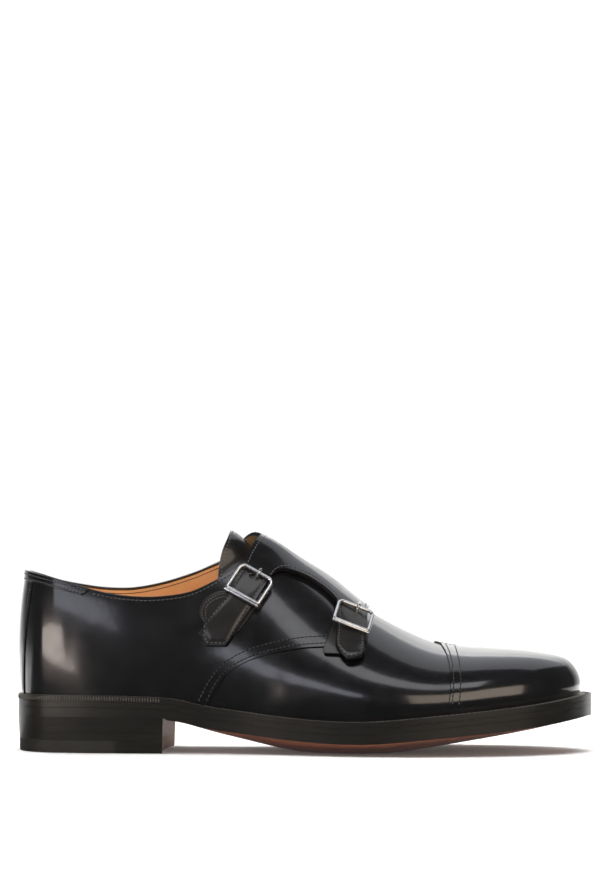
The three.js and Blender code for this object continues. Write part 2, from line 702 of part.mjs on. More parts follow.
// Buckle tab: the leather under the strap that holds the buckle's centre bar.
function buckleTab(place, length) {
  const half = 9.2;
  const from = CENTRE_BAR_RADIUS + 0.5;
  const rows = steps(8, from, length);
  const columns = steps(6, -half, half);
  const onSkin = (a, b, lift) => {
    const guess = near(place, a, b, 0);
    const u = stationAt(guess.x, true);
    const point = skinPoint(u, climbAt(u, guess.z));
    return point.addScaledVector(skinNormal(u, climbAt(u, guess.z)), lift);
  };
  const narrow = (b) => 1 - 0.25 * smooth(length - 6, length, b);
  const grid = (lift) => rows.map((b) => columns.map((a) => onSkin(a * narrow(b), b, lift)));
  return slab(grid(GAP + TAB_THICKNESS), grid(GAP));
}

// ---- finishes ----
const finish = (color, roughness, metalness = 0) => new THREE.MeshStandardMaterial({ color, roughness, metalness });
const CALF = finish('#17171a', 0.25);
const EDGE = finish('#2b2a28', 0.45);
const BOTTOM = finish('#8a5a44', 0.55);
const TAN = finish('#cd8b4e', 0.6);
const STEEL = finish('#c9cacc', 0.2, 1);
const RUBBER = finish('#1f1f1f', 0.6);

// ---- the shoe ----
const shoe = new THREE.Group();
shoe.position.x = -HEEL_CENTRE;

function addPiece(name, solid, material) {
  const mesh = new THREE.Mesh(toGeometry(solid), material);
  mesh.name = name;
  shoe.add(mesh);
}

addPiece('outsole', outsole(), BOTTOM);
addPiece('midsole', midsole(), EDGE);
addPiece('welt', welt(), EDGE);
addPiece('insole', insole(), TAN);

const liftHeight = (HEEL_HEIGHT - TOP_PIECE) / LIFT_COUNT;
addPiece('top_piece', heelLayer(0, TOP_PIECE - GAP), RUBBER);
for (let i = 0; i < LIFT_COUNT; i += 1) {
  const bottom = TOP_PIECE + i * liftHeight;
  addPiece(`heel_lift_${i + 1}`, heelLayer(bottom, bottom + liftHeight - GAP), EDGE);
}

addPiece('upper', upper(), CALF);
addPiece('tongue', tongue(), CALF);
addPiece('toe_cap', toeCap(), CALF);

let panel = strapPanel();
const tabLengths = { back: 33, front: 24 };
for (const { name, x, z, slope } of BUCKLES) {
  const place = seat(x, z, slope);
  panel = panel.subtract(prong(place, PRONG_RADIUS + GAP)).subtract(buckleFrame(place, GAP));
  addPiece(`buckle_tab_${name}`, buckleTab(place, tabLengths[name]), CALF);
  addPiece(`buckle_frame_${name}`, buckleFrame(place), STEEL);
  addPiece(`prong_${name}`, prong(place), STEEL);
}
addPiece('strap_panel', panel, CALF);

export default shoe;
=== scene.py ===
# %% [markdown]
# A right-foot double monk strap shoe in black box calf. The CAD frame is loaded first and gives
# the real size and place of every piece. Everything after it is the skin that the eye sees.
# Lengths are worked out in millimetres from the back of the heel, and turned into metres of the
# frame by one function, so each number below can be checked with a ruler on a real shoe.

# %% load the frame
import math

import bmesh
import bpy
import numpy as np
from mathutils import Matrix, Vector


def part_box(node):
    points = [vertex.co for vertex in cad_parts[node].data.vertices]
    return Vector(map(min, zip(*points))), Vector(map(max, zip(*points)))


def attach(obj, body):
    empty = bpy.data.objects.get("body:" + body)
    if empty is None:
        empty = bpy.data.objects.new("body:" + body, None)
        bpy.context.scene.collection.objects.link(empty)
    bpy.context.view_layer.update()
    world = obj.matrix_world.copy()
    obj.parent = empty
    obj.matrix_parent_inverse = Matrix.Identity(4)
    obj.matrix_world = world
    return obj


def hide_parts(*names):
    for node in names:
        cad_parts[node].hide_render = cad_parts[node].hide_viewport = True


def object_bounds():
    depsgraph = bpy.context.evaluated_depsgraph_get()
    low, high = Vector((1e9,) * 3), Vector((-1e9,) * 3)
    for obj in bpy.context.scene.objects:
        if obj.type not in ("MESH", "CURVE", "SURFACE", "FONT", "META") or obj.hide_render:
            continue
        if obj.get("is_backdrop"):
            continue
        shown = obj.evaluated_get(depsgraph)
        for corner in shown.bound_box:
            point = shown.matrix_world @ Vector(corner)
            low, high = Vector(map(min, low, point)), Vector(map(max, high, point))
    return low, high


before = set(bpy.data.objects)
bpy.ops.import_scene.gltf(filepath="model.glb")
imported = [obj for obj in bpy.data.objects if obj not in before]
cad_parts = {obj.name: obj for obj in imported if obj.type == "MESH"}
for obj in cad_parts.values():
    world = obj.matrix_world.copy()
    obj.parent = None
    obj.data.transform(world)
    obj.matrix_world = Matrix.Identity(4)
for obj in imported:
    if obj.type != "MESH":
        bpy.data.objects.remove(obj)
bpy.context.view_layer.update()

MM = 0.001
HEEL_BACK = np.array([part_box("outsole")[0][0], 0.0, 0.0])


def to_frame(points):
    """Millimetres from the back of the heel to metres in the frame."""
    return np.asarray(points, float) * MM + HEEL_BACK


# %% [markdown]
# The last is the wooden foot that a shoe is built on. Its shape can be carved, scanned or, as
# here, written down: one table for the sole and one for the cross sections over it. A table with
# named columns is short, and the curve through its rows gives a smooth form at any fineness.

# %% the last's tables
def table(header, *rows):
    """Rows of numbers under named columns."""
    return dict(zip(header.split(), np.array(rows, float).T))


SOLE = table(
    "x    lateral medial margin top  crown",
    (34, 31.8, 31.4, 3.0, 30.5, 0.0),
    (60, 34.0, 32.6, 3.0, 30.3, 0.0),
    (86, 34.0, 30.4, 3.2, 29.0, 0.4),
    (104, 34.0, 27.6, 3.4, 25.2, 2.4),
    (124, 36.4, 27.2, 3.8, 22.4, 4.8),
    (150, 43.0, 31.0, 4.6, 19.4, 7.4),
    (175, 49.4, 38.6, 5.4, 17.9, 8.4),
    (195, 52.4, 45.4, 5.8, 18.2, 8.4),
    (215, 52.8, 50.0, 6.2, 19.9, 7.4),
    (235, 50.6, 50.8, 6.8, 21.8, 6.0),
    (255, 46.0, 48.4, 7.2, 23.8, 4.4),
    (275, 38.2, 43.2, 7.4, 26.0, 2.8),
    (290, 28.6, 35.8, 7.4, 28.1, 1.4),
    (300, 18.8, 27.6, 7.4, 29.9, 0.6),
    (306, 9.0, 18.8, 7.4, 31.0, 0.2),
)
TOE_TIP = (309.0, 5.0)
HEEL_RADIUS = 31.5

SECTIONS = table(
    "x    ridge  shift fullness outer inner",
    (30, 128.0, 0.0, 3.0, 1.2, 1.2),
    (40, 127.4, 0.1, 2.4, 0.4, 0.8),
    (60, 126.0, 0.2, 2.12, 0.0, 1.0),
    (90, 121.5, 0.8, 2.02, 0.4, 3.2),
    (112, 115.8, 1.4, 1.9, 1.2, 5.4),
    (125, 111.8, 1.8, 1.8, 1.6, 6.4),
    (138, 106.2, 2.2, 1.72, 1.6, 6.2),
    (150, 100.0, 2.8, 1.7, 2.6, 5.4),
    (167, 90.4, 3.6, 1.76, 3.2, 4.2),
    (187, 76.2, 4.8, 1.88, 3.2, 3.0),
    (208, 64.6, 6.2, 2.08, 2.8, 2.2),
    (225, 57.6, 7.0, 2.3, 2.2, 2.0),
    (240, 55.0, 7.2, 2.5, 1.8, 1.8),
    (256, 54.0, 6.6, 2.7, 1.6, 1.6),
    (272, 52.8, 5.6, 2.8, 1.4, 1.4),
    (285, 50.4, 4.8, 2.8, 1.2, 1.2),
)

TOPLINE = table(
    "x    outer inner",
    (-4, 96.8, 96.8),
    (6, 96.2, 95.4),
    (16, 94.0, 91.6),
    (35, 88.6, 88.0),
    (47, 85.2, 86.8),
    (60, 83.0, 87.0),
    (76, 82.4, 90.0),
    (94, 84.7, 95.6),
    (106, 89.8, 100.6),
    (120, 98.0, 106.0),
    (130, 103.9, 108.6),
    (138, 107.4, 108.6),
)
THROAT_CLOSE = 138.0
GAP = 0.3
# the leather is pressed this far into the welt, so that no light shows below it
PRESSED = 0.12


def read(rows, column, x):
    """Smooth cubic curve through a table's column."""
    xs, ys = rows["x"], rows[column]
    x = np.clip(np.asarray(x, float), xs[0], xs[-1])
    k = np.clip(np.searchsorted(xs, x) - 1, 0, len(xs) - 2)
    index = np.arange(len(xs))
    before, after = np.maximum(index - 1, 0), np.minimum(index + 1, len(xs) - 1)
    slope = (ys[after] - ys[before]) / (xs[after] - xs[before])
    span = xs[k + 1] - xs[k]
    f = (x - xs[k]) / span
    return ((2 * f**3 - 3 * f**2 + 1) * ys[k] + (f**3 - 2 * f**2 + f) * span * slope[k]
            + (3 * f**2 - 2 * f**3) * ys[k + 1] + (f**3 - f**2) * span * slope[k + 1])


def smooth(low, high, value):
    """Soft step from 0 at low to 1 at high."""
    f = np.clip((np.asarray(value, float) - low) / (high - low), 0, 1)
    return f * f * (3 - 2 * f)


# %% the sole's outline
SAMPLES_PER_PIECE = 20


def spline(points, count, closed=False):
    """Points along a smooth curve through the given ones, count to each piece."""
    p = np.array(points, float)
    if closed:
        p = np.vstack([p[-1:], p, p[:2]])
    else:
        p = np.vstack([2 * p[0] - p[1], p, 2 * p[-1] - p[-2]])
    f = np.linspace(0, 1, count, endpoint=False)[:, None]
    pieces = []
    for a, b, c, d in zip(p, p[1:], p[2:], p[3:]):
        start, end = (c - a) / 2, (d - b) / 2
        pieces.append((2 * f**3 - 3 * f**2 + 1) * b + (f**3 - 2 * f**2 + f) * start
                      + (3 * f**2 - 2 * f**3) * c + (f**3 - f**2) * end)
    if not closed:
        pieces.append(p[-2:-1])
    return np.vstack(pieces)


def outline_points():
    """The sole seen from above: heel arc, outer side, toe tip, inner side."""
    arc = np.radians([0, 30, 60])
    outer_arc = [(HEEL_RADIUS * (1 - math.cos(a)), -HEEL_RADIUS * math.sin(a)) for a in arc]
    inner_arc = [(x, -y) for x, y in outer_arc[:0:-1]]
    outer = [(x, -y) for x, y in zip(SOLE["x"], SOLE["lateral"])]
    inner = list(zip(SOLE["x"], SOLE["medial"]))[::-1]
    return spline(outer_arc + outer + [TOE_TIP] + inner + inner_arc, SAMPLES_PER_PIECE, closed=True)


OUTLINE = outline_points()


def inset(distance):
    """The outline moved inwards by distance(x), as its outer and inner side."""
    along = np.roll(OUTLINE, -1, axis=0) - np.roll(OUTLINE, 1, axis=0)
    along /= np.linalg.norm(along, axis=1)[:, None]
    step = np.asarray(distance(OUTLINE[:, 0]), float) * np.ones(len(OUTLINE))
    moved = OUTLINE + np.stack([-along[:, 1], along[:, 0]], axis=1) * step[:, None]
    tip = int(np.argmax(moved[:, 0]))
    outer = moved[:tip + 1]
    inner = np.vstack([moved[tip:], moved[:1]])[::-1]
    for side in (outer, inner):
        side[:, 0] = np.maximum.accumulate(side[:, 0])
    return {"outer": outer, "inner": inner, "back": moved[0, 0], "front": moved[tip, 0]}


def margin(x):
    return read(SOLE, "margin", x)


def welt_top(x):
    return read(SOLE, "top", x)


FEATHER = inset(margin)
FULL = inset(lambda x: 0 * x)


def station(sides, u):
    """Foot of station u: 0 heel back, 0 to 1 outer side, 1 toe tip, 1 to 2 inner side."""
    turn = np.mod(np.asarray(u, float), 2)
    outer_side = turn <= 1
    q = np.where(outer_side, turn, 2 - turn)
    x = sides["back"] + (sides["front"] - sides["back"]) * (1 - np.cos(np.pi * q)) / 2
    y = np.where(outer_side, np.interp(x, *sides["outer"].T), np.interp(x, *sides["inner"].T))
    return x, y, outer_side


print("outline points:", len(OUTLINE), " ball width, mm:", round(float(np.ptp(OUTLINE[:, 1])), 1))

# %% [markdown]
# Between the welt and the ridge each cross section is a quarter of a superellipse, fuller at the
# heel and toe and more pointed over the instep, with a swell low on the wall. Stations fan out
# at both ends, so the rounds of heel and toe get clean rows of faces and no pole.

# %% the last's surface
HEEL_FAN, TOE_FAN = 60.0, 230.0
RIDGE_BACK, RIDGE_FRONT = 30.0, 285.0
# h * (1 - h) ** 2 is greatest, 4 / 27, a third of the way up; this makes it 1 there
SWELL_PEAK = 6.75


def ridge_x(x):
    """Where the ridge point of a foot point lies along the shoe."""
    heel_depth = HEEL_FAN - FEATHER["back"]
    toe_depth = FEATHER["front"] - TOE_FAN
    heel_pull = (heel_depth - (HEEL_FAN - RIDGE_BACK)) / heel_depth**2
    toe_pull = (toe_depth - (RIDGE_FRONT - TOE_FAN)) / toe_depth**2
    return (x + heel_pull * np.maximum(HEEL_FAN - x, 0) ** 2
            - toe_pull * np.maximum(x - TOE_FAN, 0) ** 2)


def last_point(u, t):
    """Surface point for station u and climb t: 0 at the welt, 1 on the ridge, 2 at the far welt."""
    u, t = np.broadcast_arrays(np.asarray(u, float), np.asarray(t, float))
    over = t > 1
    u, t = np.where(over, 2 - u, u), np.where(over, 2 - t, t)
    foot_x, foot_y, outer_side = station(FEATHER, u)
    x = ridge_x(foot_x)
    ridge_y, ridge_z = read(SECTIONS, "shift", x), read(SECTIONS, "ridge", x)
    n = read(SECTIONS, "fullness", x)
    angle = np.maximum(t, 0) * np.pi / 2
    across, climb = np.abs(np.cos(angle)), np.sin(angle)
    reach = (across**n + climb**n) ** (-1 / n)
    across, climb = across * reach, climb * reach
    swell = np.where(outer_side, read(SECTIONS, "outer", x), read(SECTIONS, "inner", x))
    width = np.hypot(foot_x - x, foot_y - ridge_y)
    stretch = across + swell * SWELL_PEAK * climb * (1 - climb) ** 2 / width
    low = welt_top(foot_x) - PRESSED
    return np.stack([x + (foot_x - x) * stretch, ridge_y + (foot_y - ridge_y) * stretch,
                     low + climb * (ridge_z - low)], axis=-1)


def last_normal(u, t):
    du, dt = 0.003, 0.004
    along = last_point(u + du, t) - last_point(u - du, t)
    up = last_point(u, t + dt) - last_point(u, np.maximum(t - dt, 0))
    normal = np.cross(along, up)
    size = np.linalg.norm(normal, axis=-1, keepdims=True)
    normal = np.where(size > 1e-9, normal / np.maximum(size, 1e-9), [0.0, 0.0, 1.0])
    # the stations crowd together round the front tip of the ridge, so it is eased to face up
    away = np.linalg.norm(last_point(u, t) - last_point(1.0, 1.0), axis=-1, keepdims=True)
    normal = normal + (1 - smooth(1.0, 5.0, away)) * (np.array([0.0, 0.0, 1.0]) - normal)
    return normal / np.linalg.norm(normal, axis=-1, keepdims=True)


def skin(u, t, lift=0.0):
    """Surface point moved out by lift millimetres."""
    u, t, lift = np.broadcast_arrays(np.asarray(u, float), np.asarray(t, float), np.asarray(lift, float))
    point = last_point(u, t) + last_normal(u, t) * lift[..., None]
    point[..., 2] = np.maximum(point[..., 2], welt_top(point[..., 0]) - PRESSED)
    return point


_Q = np.linspace(0, 1, 4001)
_RIDGE = ridge_x(station(FEATHER, _Q)[0])


def station_at(x):
    """Station on the outer side whose ridge lies at x."""
    return np.interp(x, _RIDGE, _Q)


def solve_climb(u, height, low=0.0, high=1.0):
    """Climb at which the wall's height first passes height(x)."""
    low, high = np.full(np.shape(u), low), np.full(np.shape(u), high)
    for _ in range(32):
        middle = (low + high) / 2
        point = last_point(u, middle)
        below = point[..., 2] < height(point[..., 0])
        low, high = np.where(below, middle, low), np.where(below, high, middle)
    return low


def collar_height(outer_side, x):
    """Height of the collar's edge at x, on the outer or the inner side."""
    return np.where(outer_side, read(TOPLINE, "outer", x), read(TOPLINE, "inner", x))


def collar_climb(u):
    """Climb at which station u meets the collar's edge, 1 where the upper is closed."""
    u = np.asarray(u, float)
    x, _, outer_side = station(FEATHER, u)
    climb = solve_climb(u, lambda place: collar_height(outer_side, place), 0.2, 1.0)
    return np.where(x >= THROAT_CLOSE - 0.01, 1.0, climb)


CAMERA_DISTANCE, CAMERA_TURN = 1450.0, math.radians(3.5)
VIEW_MIDDLE = np.array([155.0, -40.0, 55.0])


def across_view(x, y):
    """Where a point shows across the camera's view, in millimetres from the middle."""
    x, y = x - VIEW_MIDDLE[0], y - VIEW_MIDDLE[1]
    right = x * math.cos(CAMERA_TURN) + y * math.sin(CAMERA_TURN)
    nearer = x * math.sin(CAMERA_TURN) - y * math.cos(CAMERA_TURN)
    return right * CAMERA_DISTANCE / (CAMERA_DISTANCE - nearer)


HEEL_SHOWS, TOE_SHOWS = across_view(0.0, 0.0), across_view(*TOE_TIP)


def shown_x(point):
    """The side view's own scale: 0 at the heel's back, 309 at the toe tip."""
    share = (across_view(point[..., 0], point[..., 1]) - HEEL_SHOWS) / (TOE_SHOWS - HEEL_SHOWS)
    return share * TOE_TIP[0]


def find(x, z, lift=0.0):
    """Station and climb of the outer-side point that shows at x, z; lift is a number or lift(u, t)."""
    x, z = np.asarray(x, float), np.asarray(z, float)
    aim_x, aim_z = x.copy(), z.copy()
    for _ in range(8):
        u = station_at(aim_x)
        t = solve_climb(u, lambda _: aim_z)
        seen = skin(u, t, lift(u, t) if callable(lift) else lift)
        aim_x, aim_z = aim_x + 0.8 * (x - shown_x(seen)), aim_z + 0.8 * (z - seen[..., 2])
    return np.stack([u, t], axis=-1)


print("ridge over the instep, mm:", last_point(station_at(125.0), 1.0).round(1))

# %% [markdown]
# Blender meshes come from grids of points: rows and columns on the last, lifted off it by the
# leather's thickness. A sheet becomes a real piece of leather by a Solidify modifier for its
# thickness and a Bevel for its burnished edge. Sculpting would be freer, but a grid can be
# measured, and neighbouring pieces share their seam lines exactly.

# %% mesh helpers
def make_piece(name, vertices, faces, materials, face_materials=None):
    """A mesh object in the frame from points in millimetres."""
    mesh = bpy.data.meshes.new(name)
    mesh.from_pydata(to_frame(vertices).tolist(), [], [list(map(int, f)) for f in faces])
    for material in materials:
        mesh.materials.append(material)
    if face_materials is not None:
        mesh.polygons.foreach_set("material_index", np.asarray(face_materials, np.int32))
    mesh.polygons.foreach_set("use_smooth", [True] * len(mesh.polygons))
    mesh.validate()
    piece = bpy.data.objects.new(name, mesh)
    bpy.context.scene.collection.objects.link(piece)
    return piece


def grid_faces(rows, columns, wrap=False, start=0):
    """Quads of a grid stored row by row; wrap joins the last column to the first."""
    i, j = np.meshgrid(np.arange(rows - 1), np.arange(columns if wrap else columns - 1), indexing="ij")
    k = (j + 1) % columns
    quads = np.stack([i * columns + j, i * columns + k,
                      (i + 1) * columns + k, (i + 1) * columns + j], axis=-1)
    return quads.reshape(-1, 4) + start


def merge_close(piece, distance=0.02, turn=True):
    """Joins vertices that lie on each other and turns a closed piece's faces outwards."""
    work = bmesh.new()
    work.from_mesh(piece.data)
    bmesh.ops.remove_doubles(work, verts=work.verts, dist=distance * MM)
    bmesh.ops.dissolve_degenerate(work, edges=work.edges, dist=0.001 * MM)
    if turn:
        bmesh.ops.recalc_face_normals(work, faces=work.faces)
    work.to_mesh(piece.data)
    work.free()
    return piece


def add_modifier(piece, kind, **settings):
    modifier = piece.modifiers.new(kind.title(), kind)
    for key, value in settings.items():
        setattr(modifier, key, value)
    return modifier


def thicken(piece, thickness, edge=0.45, rim=0, back=0, weights=None):
    """Leather thickness below a sheet's outer face, with a rounded edge; weights thin it locally."""
    solid = add_modifier(piece, "SOLIDIFY", thickness=thickness * MM, offset=-1, use_even_offset=False,
                         use_rim=True, material_offset=back, material_offset_rim=rim)
    if weights is not None:
        group = piece.vertex_groups.new(name="thickness")
        for index, weight in enumerate(weights):
            group.add([index], float(weight), "REPLACE")
        solid.vertex_group = "thickness"
    add_modifier(piece, "BEVEL", width=edge * MM, segments=3, limit_method="ANGLE",
                 angle_limit=math.radians(48), harden_normals=False, use_clamp_overlap=True)
    add_modifier(piece, "WEIGHTED_NORMAL", keep_sharp=False, weight=60)
    return piece


def finish_piece(piece, slot, *nodes):
    """Every piece rides on the one body and may stand for CAD nodes. The slot is not used."""
    piece.data.set_sharp_from_angle(angle=math.radians(40))
    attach(piece, "root")
    if nodes:
        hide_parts(*nodes)
    print(f"{piece.name}: {len(piece.data.vertices)} points")
    return piece


# %% grids of stations and climbs
def blend_lines(first, last, fractions):
    """Rows of (u, t) pairs between two lines of pairs."""
    f = np.asarray(fractions, float)[:, None, None]
    return np.asarray(first)[None] * (1 - f) + np.asarray(last)[None] * f


def mirrored(line):
    """The same line on the other side of the foot."""
    return 2 - np.asarray(line)


# %% [markdown]
# Finishes. Box calf is chrome-tanned calf with a fine, almost invisible grain, dyed through and
# polished with wax: near black, with a clear coat that shows soft window shapes. Sole edges are
# leather too, trimmed, inked and burnished with a hot iron. Every material below is worked out
# by nodes from the object's own coordinates, so it needs no images and no unwrapping.

# %% node helper
def srgb(code):
    """A hex colour as linear numbers."""
    parts = [int(code[i:i + 2], 16) / 255 for i in (1, 3, 5)]
    linear = [c / 12.92 if c <= 0.04045 else ((c + 0.055) / 1.055) ** 2.4 for c in parts]
    return (*linear, 1.0)


def add_node(tree, kind, settings=None, stops=(), **inputs):
    """Adds a node with its settings and links. An input's name has underscores for spaces, and it
    is a number, a colour or another node's output. A ramp has (position, hex) stops."""
    node = tree.nodes.new(kind)
    for key, value in (settings or {}).items():
        setattr(node, key, value)
    for index, (position, code) in enumerate(stops):
        node.color_ramp.elements[index].position = position
        node.color_ramp.elements[index].color = srgb(code)
    for key, value in inputs.items():
        socket = node.inputs[key.replace("_", " ")]
        if isinstance(value, bpy.types.NodeSocket):
            tree.links.new(value, socket)
        else:
            socket.default_value = value
    return node


def new_material(name, **shader):
    """An empty material with its shader's even values set on the shader itself."""
    material = bpy.data.materials.new(name)
    material.use_nodes = True
    tree = material.node_tree
    tree.nodes.clear()
    output = add_node(tree, "ShaderNodeOutputMaterial")
    surface = add_node(tree, "ShaderNodeBsdfPrincipled", **shader)
    tree.links.new(surface.outputs["BSDF"], output.inputs["Surface"])
    place = add_node(tree, "ShaderNodeTexCoord").outputs["Object"]
    return material, tree, surface, place


def per_mm(size):
    """Texture scale whose features are about size millimetres wide."""
    return 1 / (size * MM)


# %% black box calf
def box_calf(name, roughness=0.21, coat=0.8, dark="#060607", light="#0d0d0f", wave=0.1):
    """Polished calf: a wax mirror over fine grain, with a soft wave of 9 mm that bends reflections.
    Real pores are 0.2 mm apart, too fine to show, so they are drawn 0.6 mm apart."""
    material, tree, surface, place = new_material(
        name, IOR=1.5, Coat_Weight=coat, Coat_Roughness=0.1, Coat_IOR=1.5)
    cloud = add_node(tree, "ShaderNodeTexNoise", Vector=place, Scale=per_mm(22), Detail=3.0)
    colour = add_node(tree, "ShaderNodeValToRGB", stops=[(0.35, dark), (0.7, light)],
                      Fac=cloud.outputs["Fac"])
    tree.links.new(colour.outputs["Color"], surface.inputs["Base Color"])
    rub = add_node(tree, "ShaderNodeTexNoise", Vector=place, Scale=per_mm(6), Detail=4.0)
    shine = add_node(tree, "ShaderNodeMapRange", Value=rub.outputs["Fac"], From_Min=0.3, From_Max=0.7,
                     To_Min=roughness - 0.03, To_Max=roughness + 0.05)
    tree.links.new(shine.outputs["Result"], surface.inputs["Roughness"])
    pores = add_node(tree, "ShaderNodeTexVoronoi", {"feature": "F1"}, Vector=place, Scale=per_mm(0.6))
    grain = add_node(tree, "ShaderNodeBump", Strength=0.02, Distance=0.02 * MM,
                     Height=pores.outputs["Distance"])
    swell = add_node(tree, "ShaderNodeTexNoise", Vector=place, Scale=per_mm(9), Detail=2.0)
    waves = add_node(tree, "ShaderNodeBump", Strength=wave, Distance=0.5 * MM, Height=swell.outputs["Fac"],
                     Normal=grain.outputs["Normal"])
    tree.links.new(waves.outputs["Normal"], surface.inputs["Normal"])
    tree.links.new(waves.outputs["Normal"], surface.inputs["Coat Normal"])
    return material


CALF = box_calf("box_calf_black_polished")
CAP_CALF = box_calf("box_calf_black_mirror_polish", roughness=0.17, coat=1.0, wave=0.07)
STRAP_CALF = box_calf("box_calf_black_soft", roughness=0.31, coat=0.5, dark="#100e0c", light="#1a1714",
                      wave=0.12)


# %% lining, sole and edge leathers
def plain_leather(name, dark, light, roughness, grain_mm, bump=0.3, coat=0.0, stretch=(1, 1, 1)):
    """Leather with a fibre grain; stretch draws the grain out along an axis."""
    material, tree, surface, place = new_material(name, IOR=1.48, Coat_Weight=coat, Coat_Roughness=0.2)
    drawn = add_node(tree, "ShaderNodeMapping", Vector=place, Scale=stretch).outputs["Vector"]
    cloud = add_node(tree, "ShaderNodeTexNoise", Vector=drawn, Scale=per_mm(14), Detail=5.0, Roughness=0.6)
    fibre = add_node(tree, "ShaderNodeTexNoise", Vector=drawn, Scale=per_mm(grain_mm), Detail=4.0)
    both = add_node(tree, "ShaderNodeMix", {"data_type": "FLOAT"}, Factor=0.35, A=cloud.outputs["Fac"],
                    B=fibre.outputs["Fac"])
    colour = add_node(tree, "ShaderNodeValToRGB", stops=[(0.3, dark), (0.7, light)],
                      Fac=both.outputs["Result"])
    tree.links.new(colour.outputs["Color"], surface.inputs["Base Color"])
    dull = add_node(tree, "ShaderNodeMapRange", Value=fibre.outputs["Fac"], To_Min=roughness - 0.08,
                    To_Max=roughness + 0.08)
    tree.links.new(dull.outputs["Result"], surface.inputs["Roughness"])
    nap = add_node(tree, "ShaderNodeBump", Strength=bump, Distance=0.08 * MM, Height=fibre.outputs["Fac"])
    tree.links.new(nap.outputs["Normal"], surface.inputs["Normal"])
    return material


# Vegetable-tanned leather is a warm, dull tan. Inked and burnished edges are near black with a soft
# sheen, and the sole's bottom is stained brown and waxed. The welt's top is inked and dull, but is
# drawn a lighter grey as a painted highlight, a thin light line along the top of the welt.
# The heel's breast shows its cut layers, and the rubber top piece is an even, dull black.
LINING = plain_leather("vegetable_tanned_lining_tan", "#dfb07c", "#f2cd9c", 0.5, 0.7)
SOCK = plain_leather("vegetable_tanned_sock_tan", "#c98d55", "#dfab72", 0.5, 0.9)
EDGE = plain_leather("sole_edge_inked_burnished", "#131210", "#211f1b", 0.32, 0.5, 0.1,
                     stretch=(0.25, 0.25, 1))
WELT_TOP_HIGHLIGHT = plain_leather("welt_inked_painted_highlight", "#3a3733", "#57534d", 0.5, 0.6, 0.3)
BOTTOM = plain_leather("oak_bark_sole_red_brown", "#74412e", "#94583f", 0.45, 0.8, 0.2, 0.15,
                       stretch=(0.4, 1, 1))
BREAST = plain_leather("heel_breast_leather_brown", "#694a3c", "#8f6d5a", 0.6, 0.5, 0.3,
                       stretch=(1, 0.3, 2.5))
TOPLIFT = plain_leather("rubber_top_piece_black", "#1c1b18", "#2b2a26", 0.55, 0.5, 0.2)
LEATHER_EDGE = plain_leather("cut_leather_edge_inked", "#0f0f10", "#1b1b1b", 0.5, 0.4, 0.2)


# %% thread and steel
def thread(name, dark, light):
    """Waxed linen thread: a dull rope. Its strands are really 0.2 mm apart and are drawn 0.5 mm
    apart, so that they show; the wave node makes three strands to each length of its scale."""
    material, tree, surface, place = new_material(name, IOR=1.5, Roughness=0.5, Sheen_Weight=0.2)
    twist = add_node(tree, "ShaderNodeTexWave", Vector=place, Scale=per_mm(1.6), Distortion=1.0)
    colour = add_node(tree, "ShaderNodeValToRGB", stops=[(0.1, dark), (0.9, light)],
                      Fac=twist.outputs["Fac"])
    tree.links.new(colour.outputs["Color"], surface.inputs["Base Color"])
    rope = add_node(tree, "ShaderNodeBump", Strength=0.4, Distance=0.06 * MM, Height=twist.outputs["Fac"])
    tree.links.new(rope.outputs["Normal"], surface.inputs["Normal"])
    return material


THREAD = thread("waxed_thread_black", "#1c1c1d", "#5c5c5c")
LINING_THREAD = thread("waxed_thread_brown", "#2b1a10", "#5a3a22")
WELT_THREAD = thread("welt_thread_black", "#141414", "#343331")


def polished_steel(name):
    """Plated and polished wire: a bright mirror, slightly dulled by polishing marks. Real ones are
    hair thin, so they are drawn 0.3 mm wide."""
    material, tree, surface, place = new_material(name, Metallic=1.0)
    cloud = add_node(tree, "ShaderNodeTexNoise", Vector=place, Scale=per_mm(3), Detail=3.0)
    colour = add_node(tree, "ShaderNodeValToRGB", stops=[(0.3, "#dfdfe0"), (0.7, "#f3f2f0")],
                      Fac=cloud.outputs["Fac"])
    tree.links.new(colour.outputs["Color"], surface.inputs["Base Color"])
    lines = add_node(tree, "ShaderNodeTexNoise", Vector=place, Scale=per_mm(0.3), Detail=2.0)
    dull = add_node(tree, "ShaderNodeMapRange", Value=lines.outputs["Fac"], To_Min=0.14, To_Max=0.22)
    tree.links.new(dull.outputs["Result"], surface.inputs["Roughness"])
    polish = add_node(tree, "ShaderNodeBump", Strength=0.02, Distance=0.01 * MM,
                      Height=lines.outputs["Fac"])
    tree.links.new(polish.outputs["Normal"], surface.inputs["Normal"])
    return material


STEEL = polished_steel("polished_plated_steel")
print("finishes:", len(bpy.data.materials))

# %% [markdown]
# The upper starts as one shell pulled over the last: black outside, tan lining inside. The vamp
# is this shell's own surface. Quarters, cap and straps are laid over it later as separate
# leathers, just as a closer stitches them on, so every seam is a real step and not a drawn line.

# %% upper shell
WALL = 2.4
QUARTER = 1.0


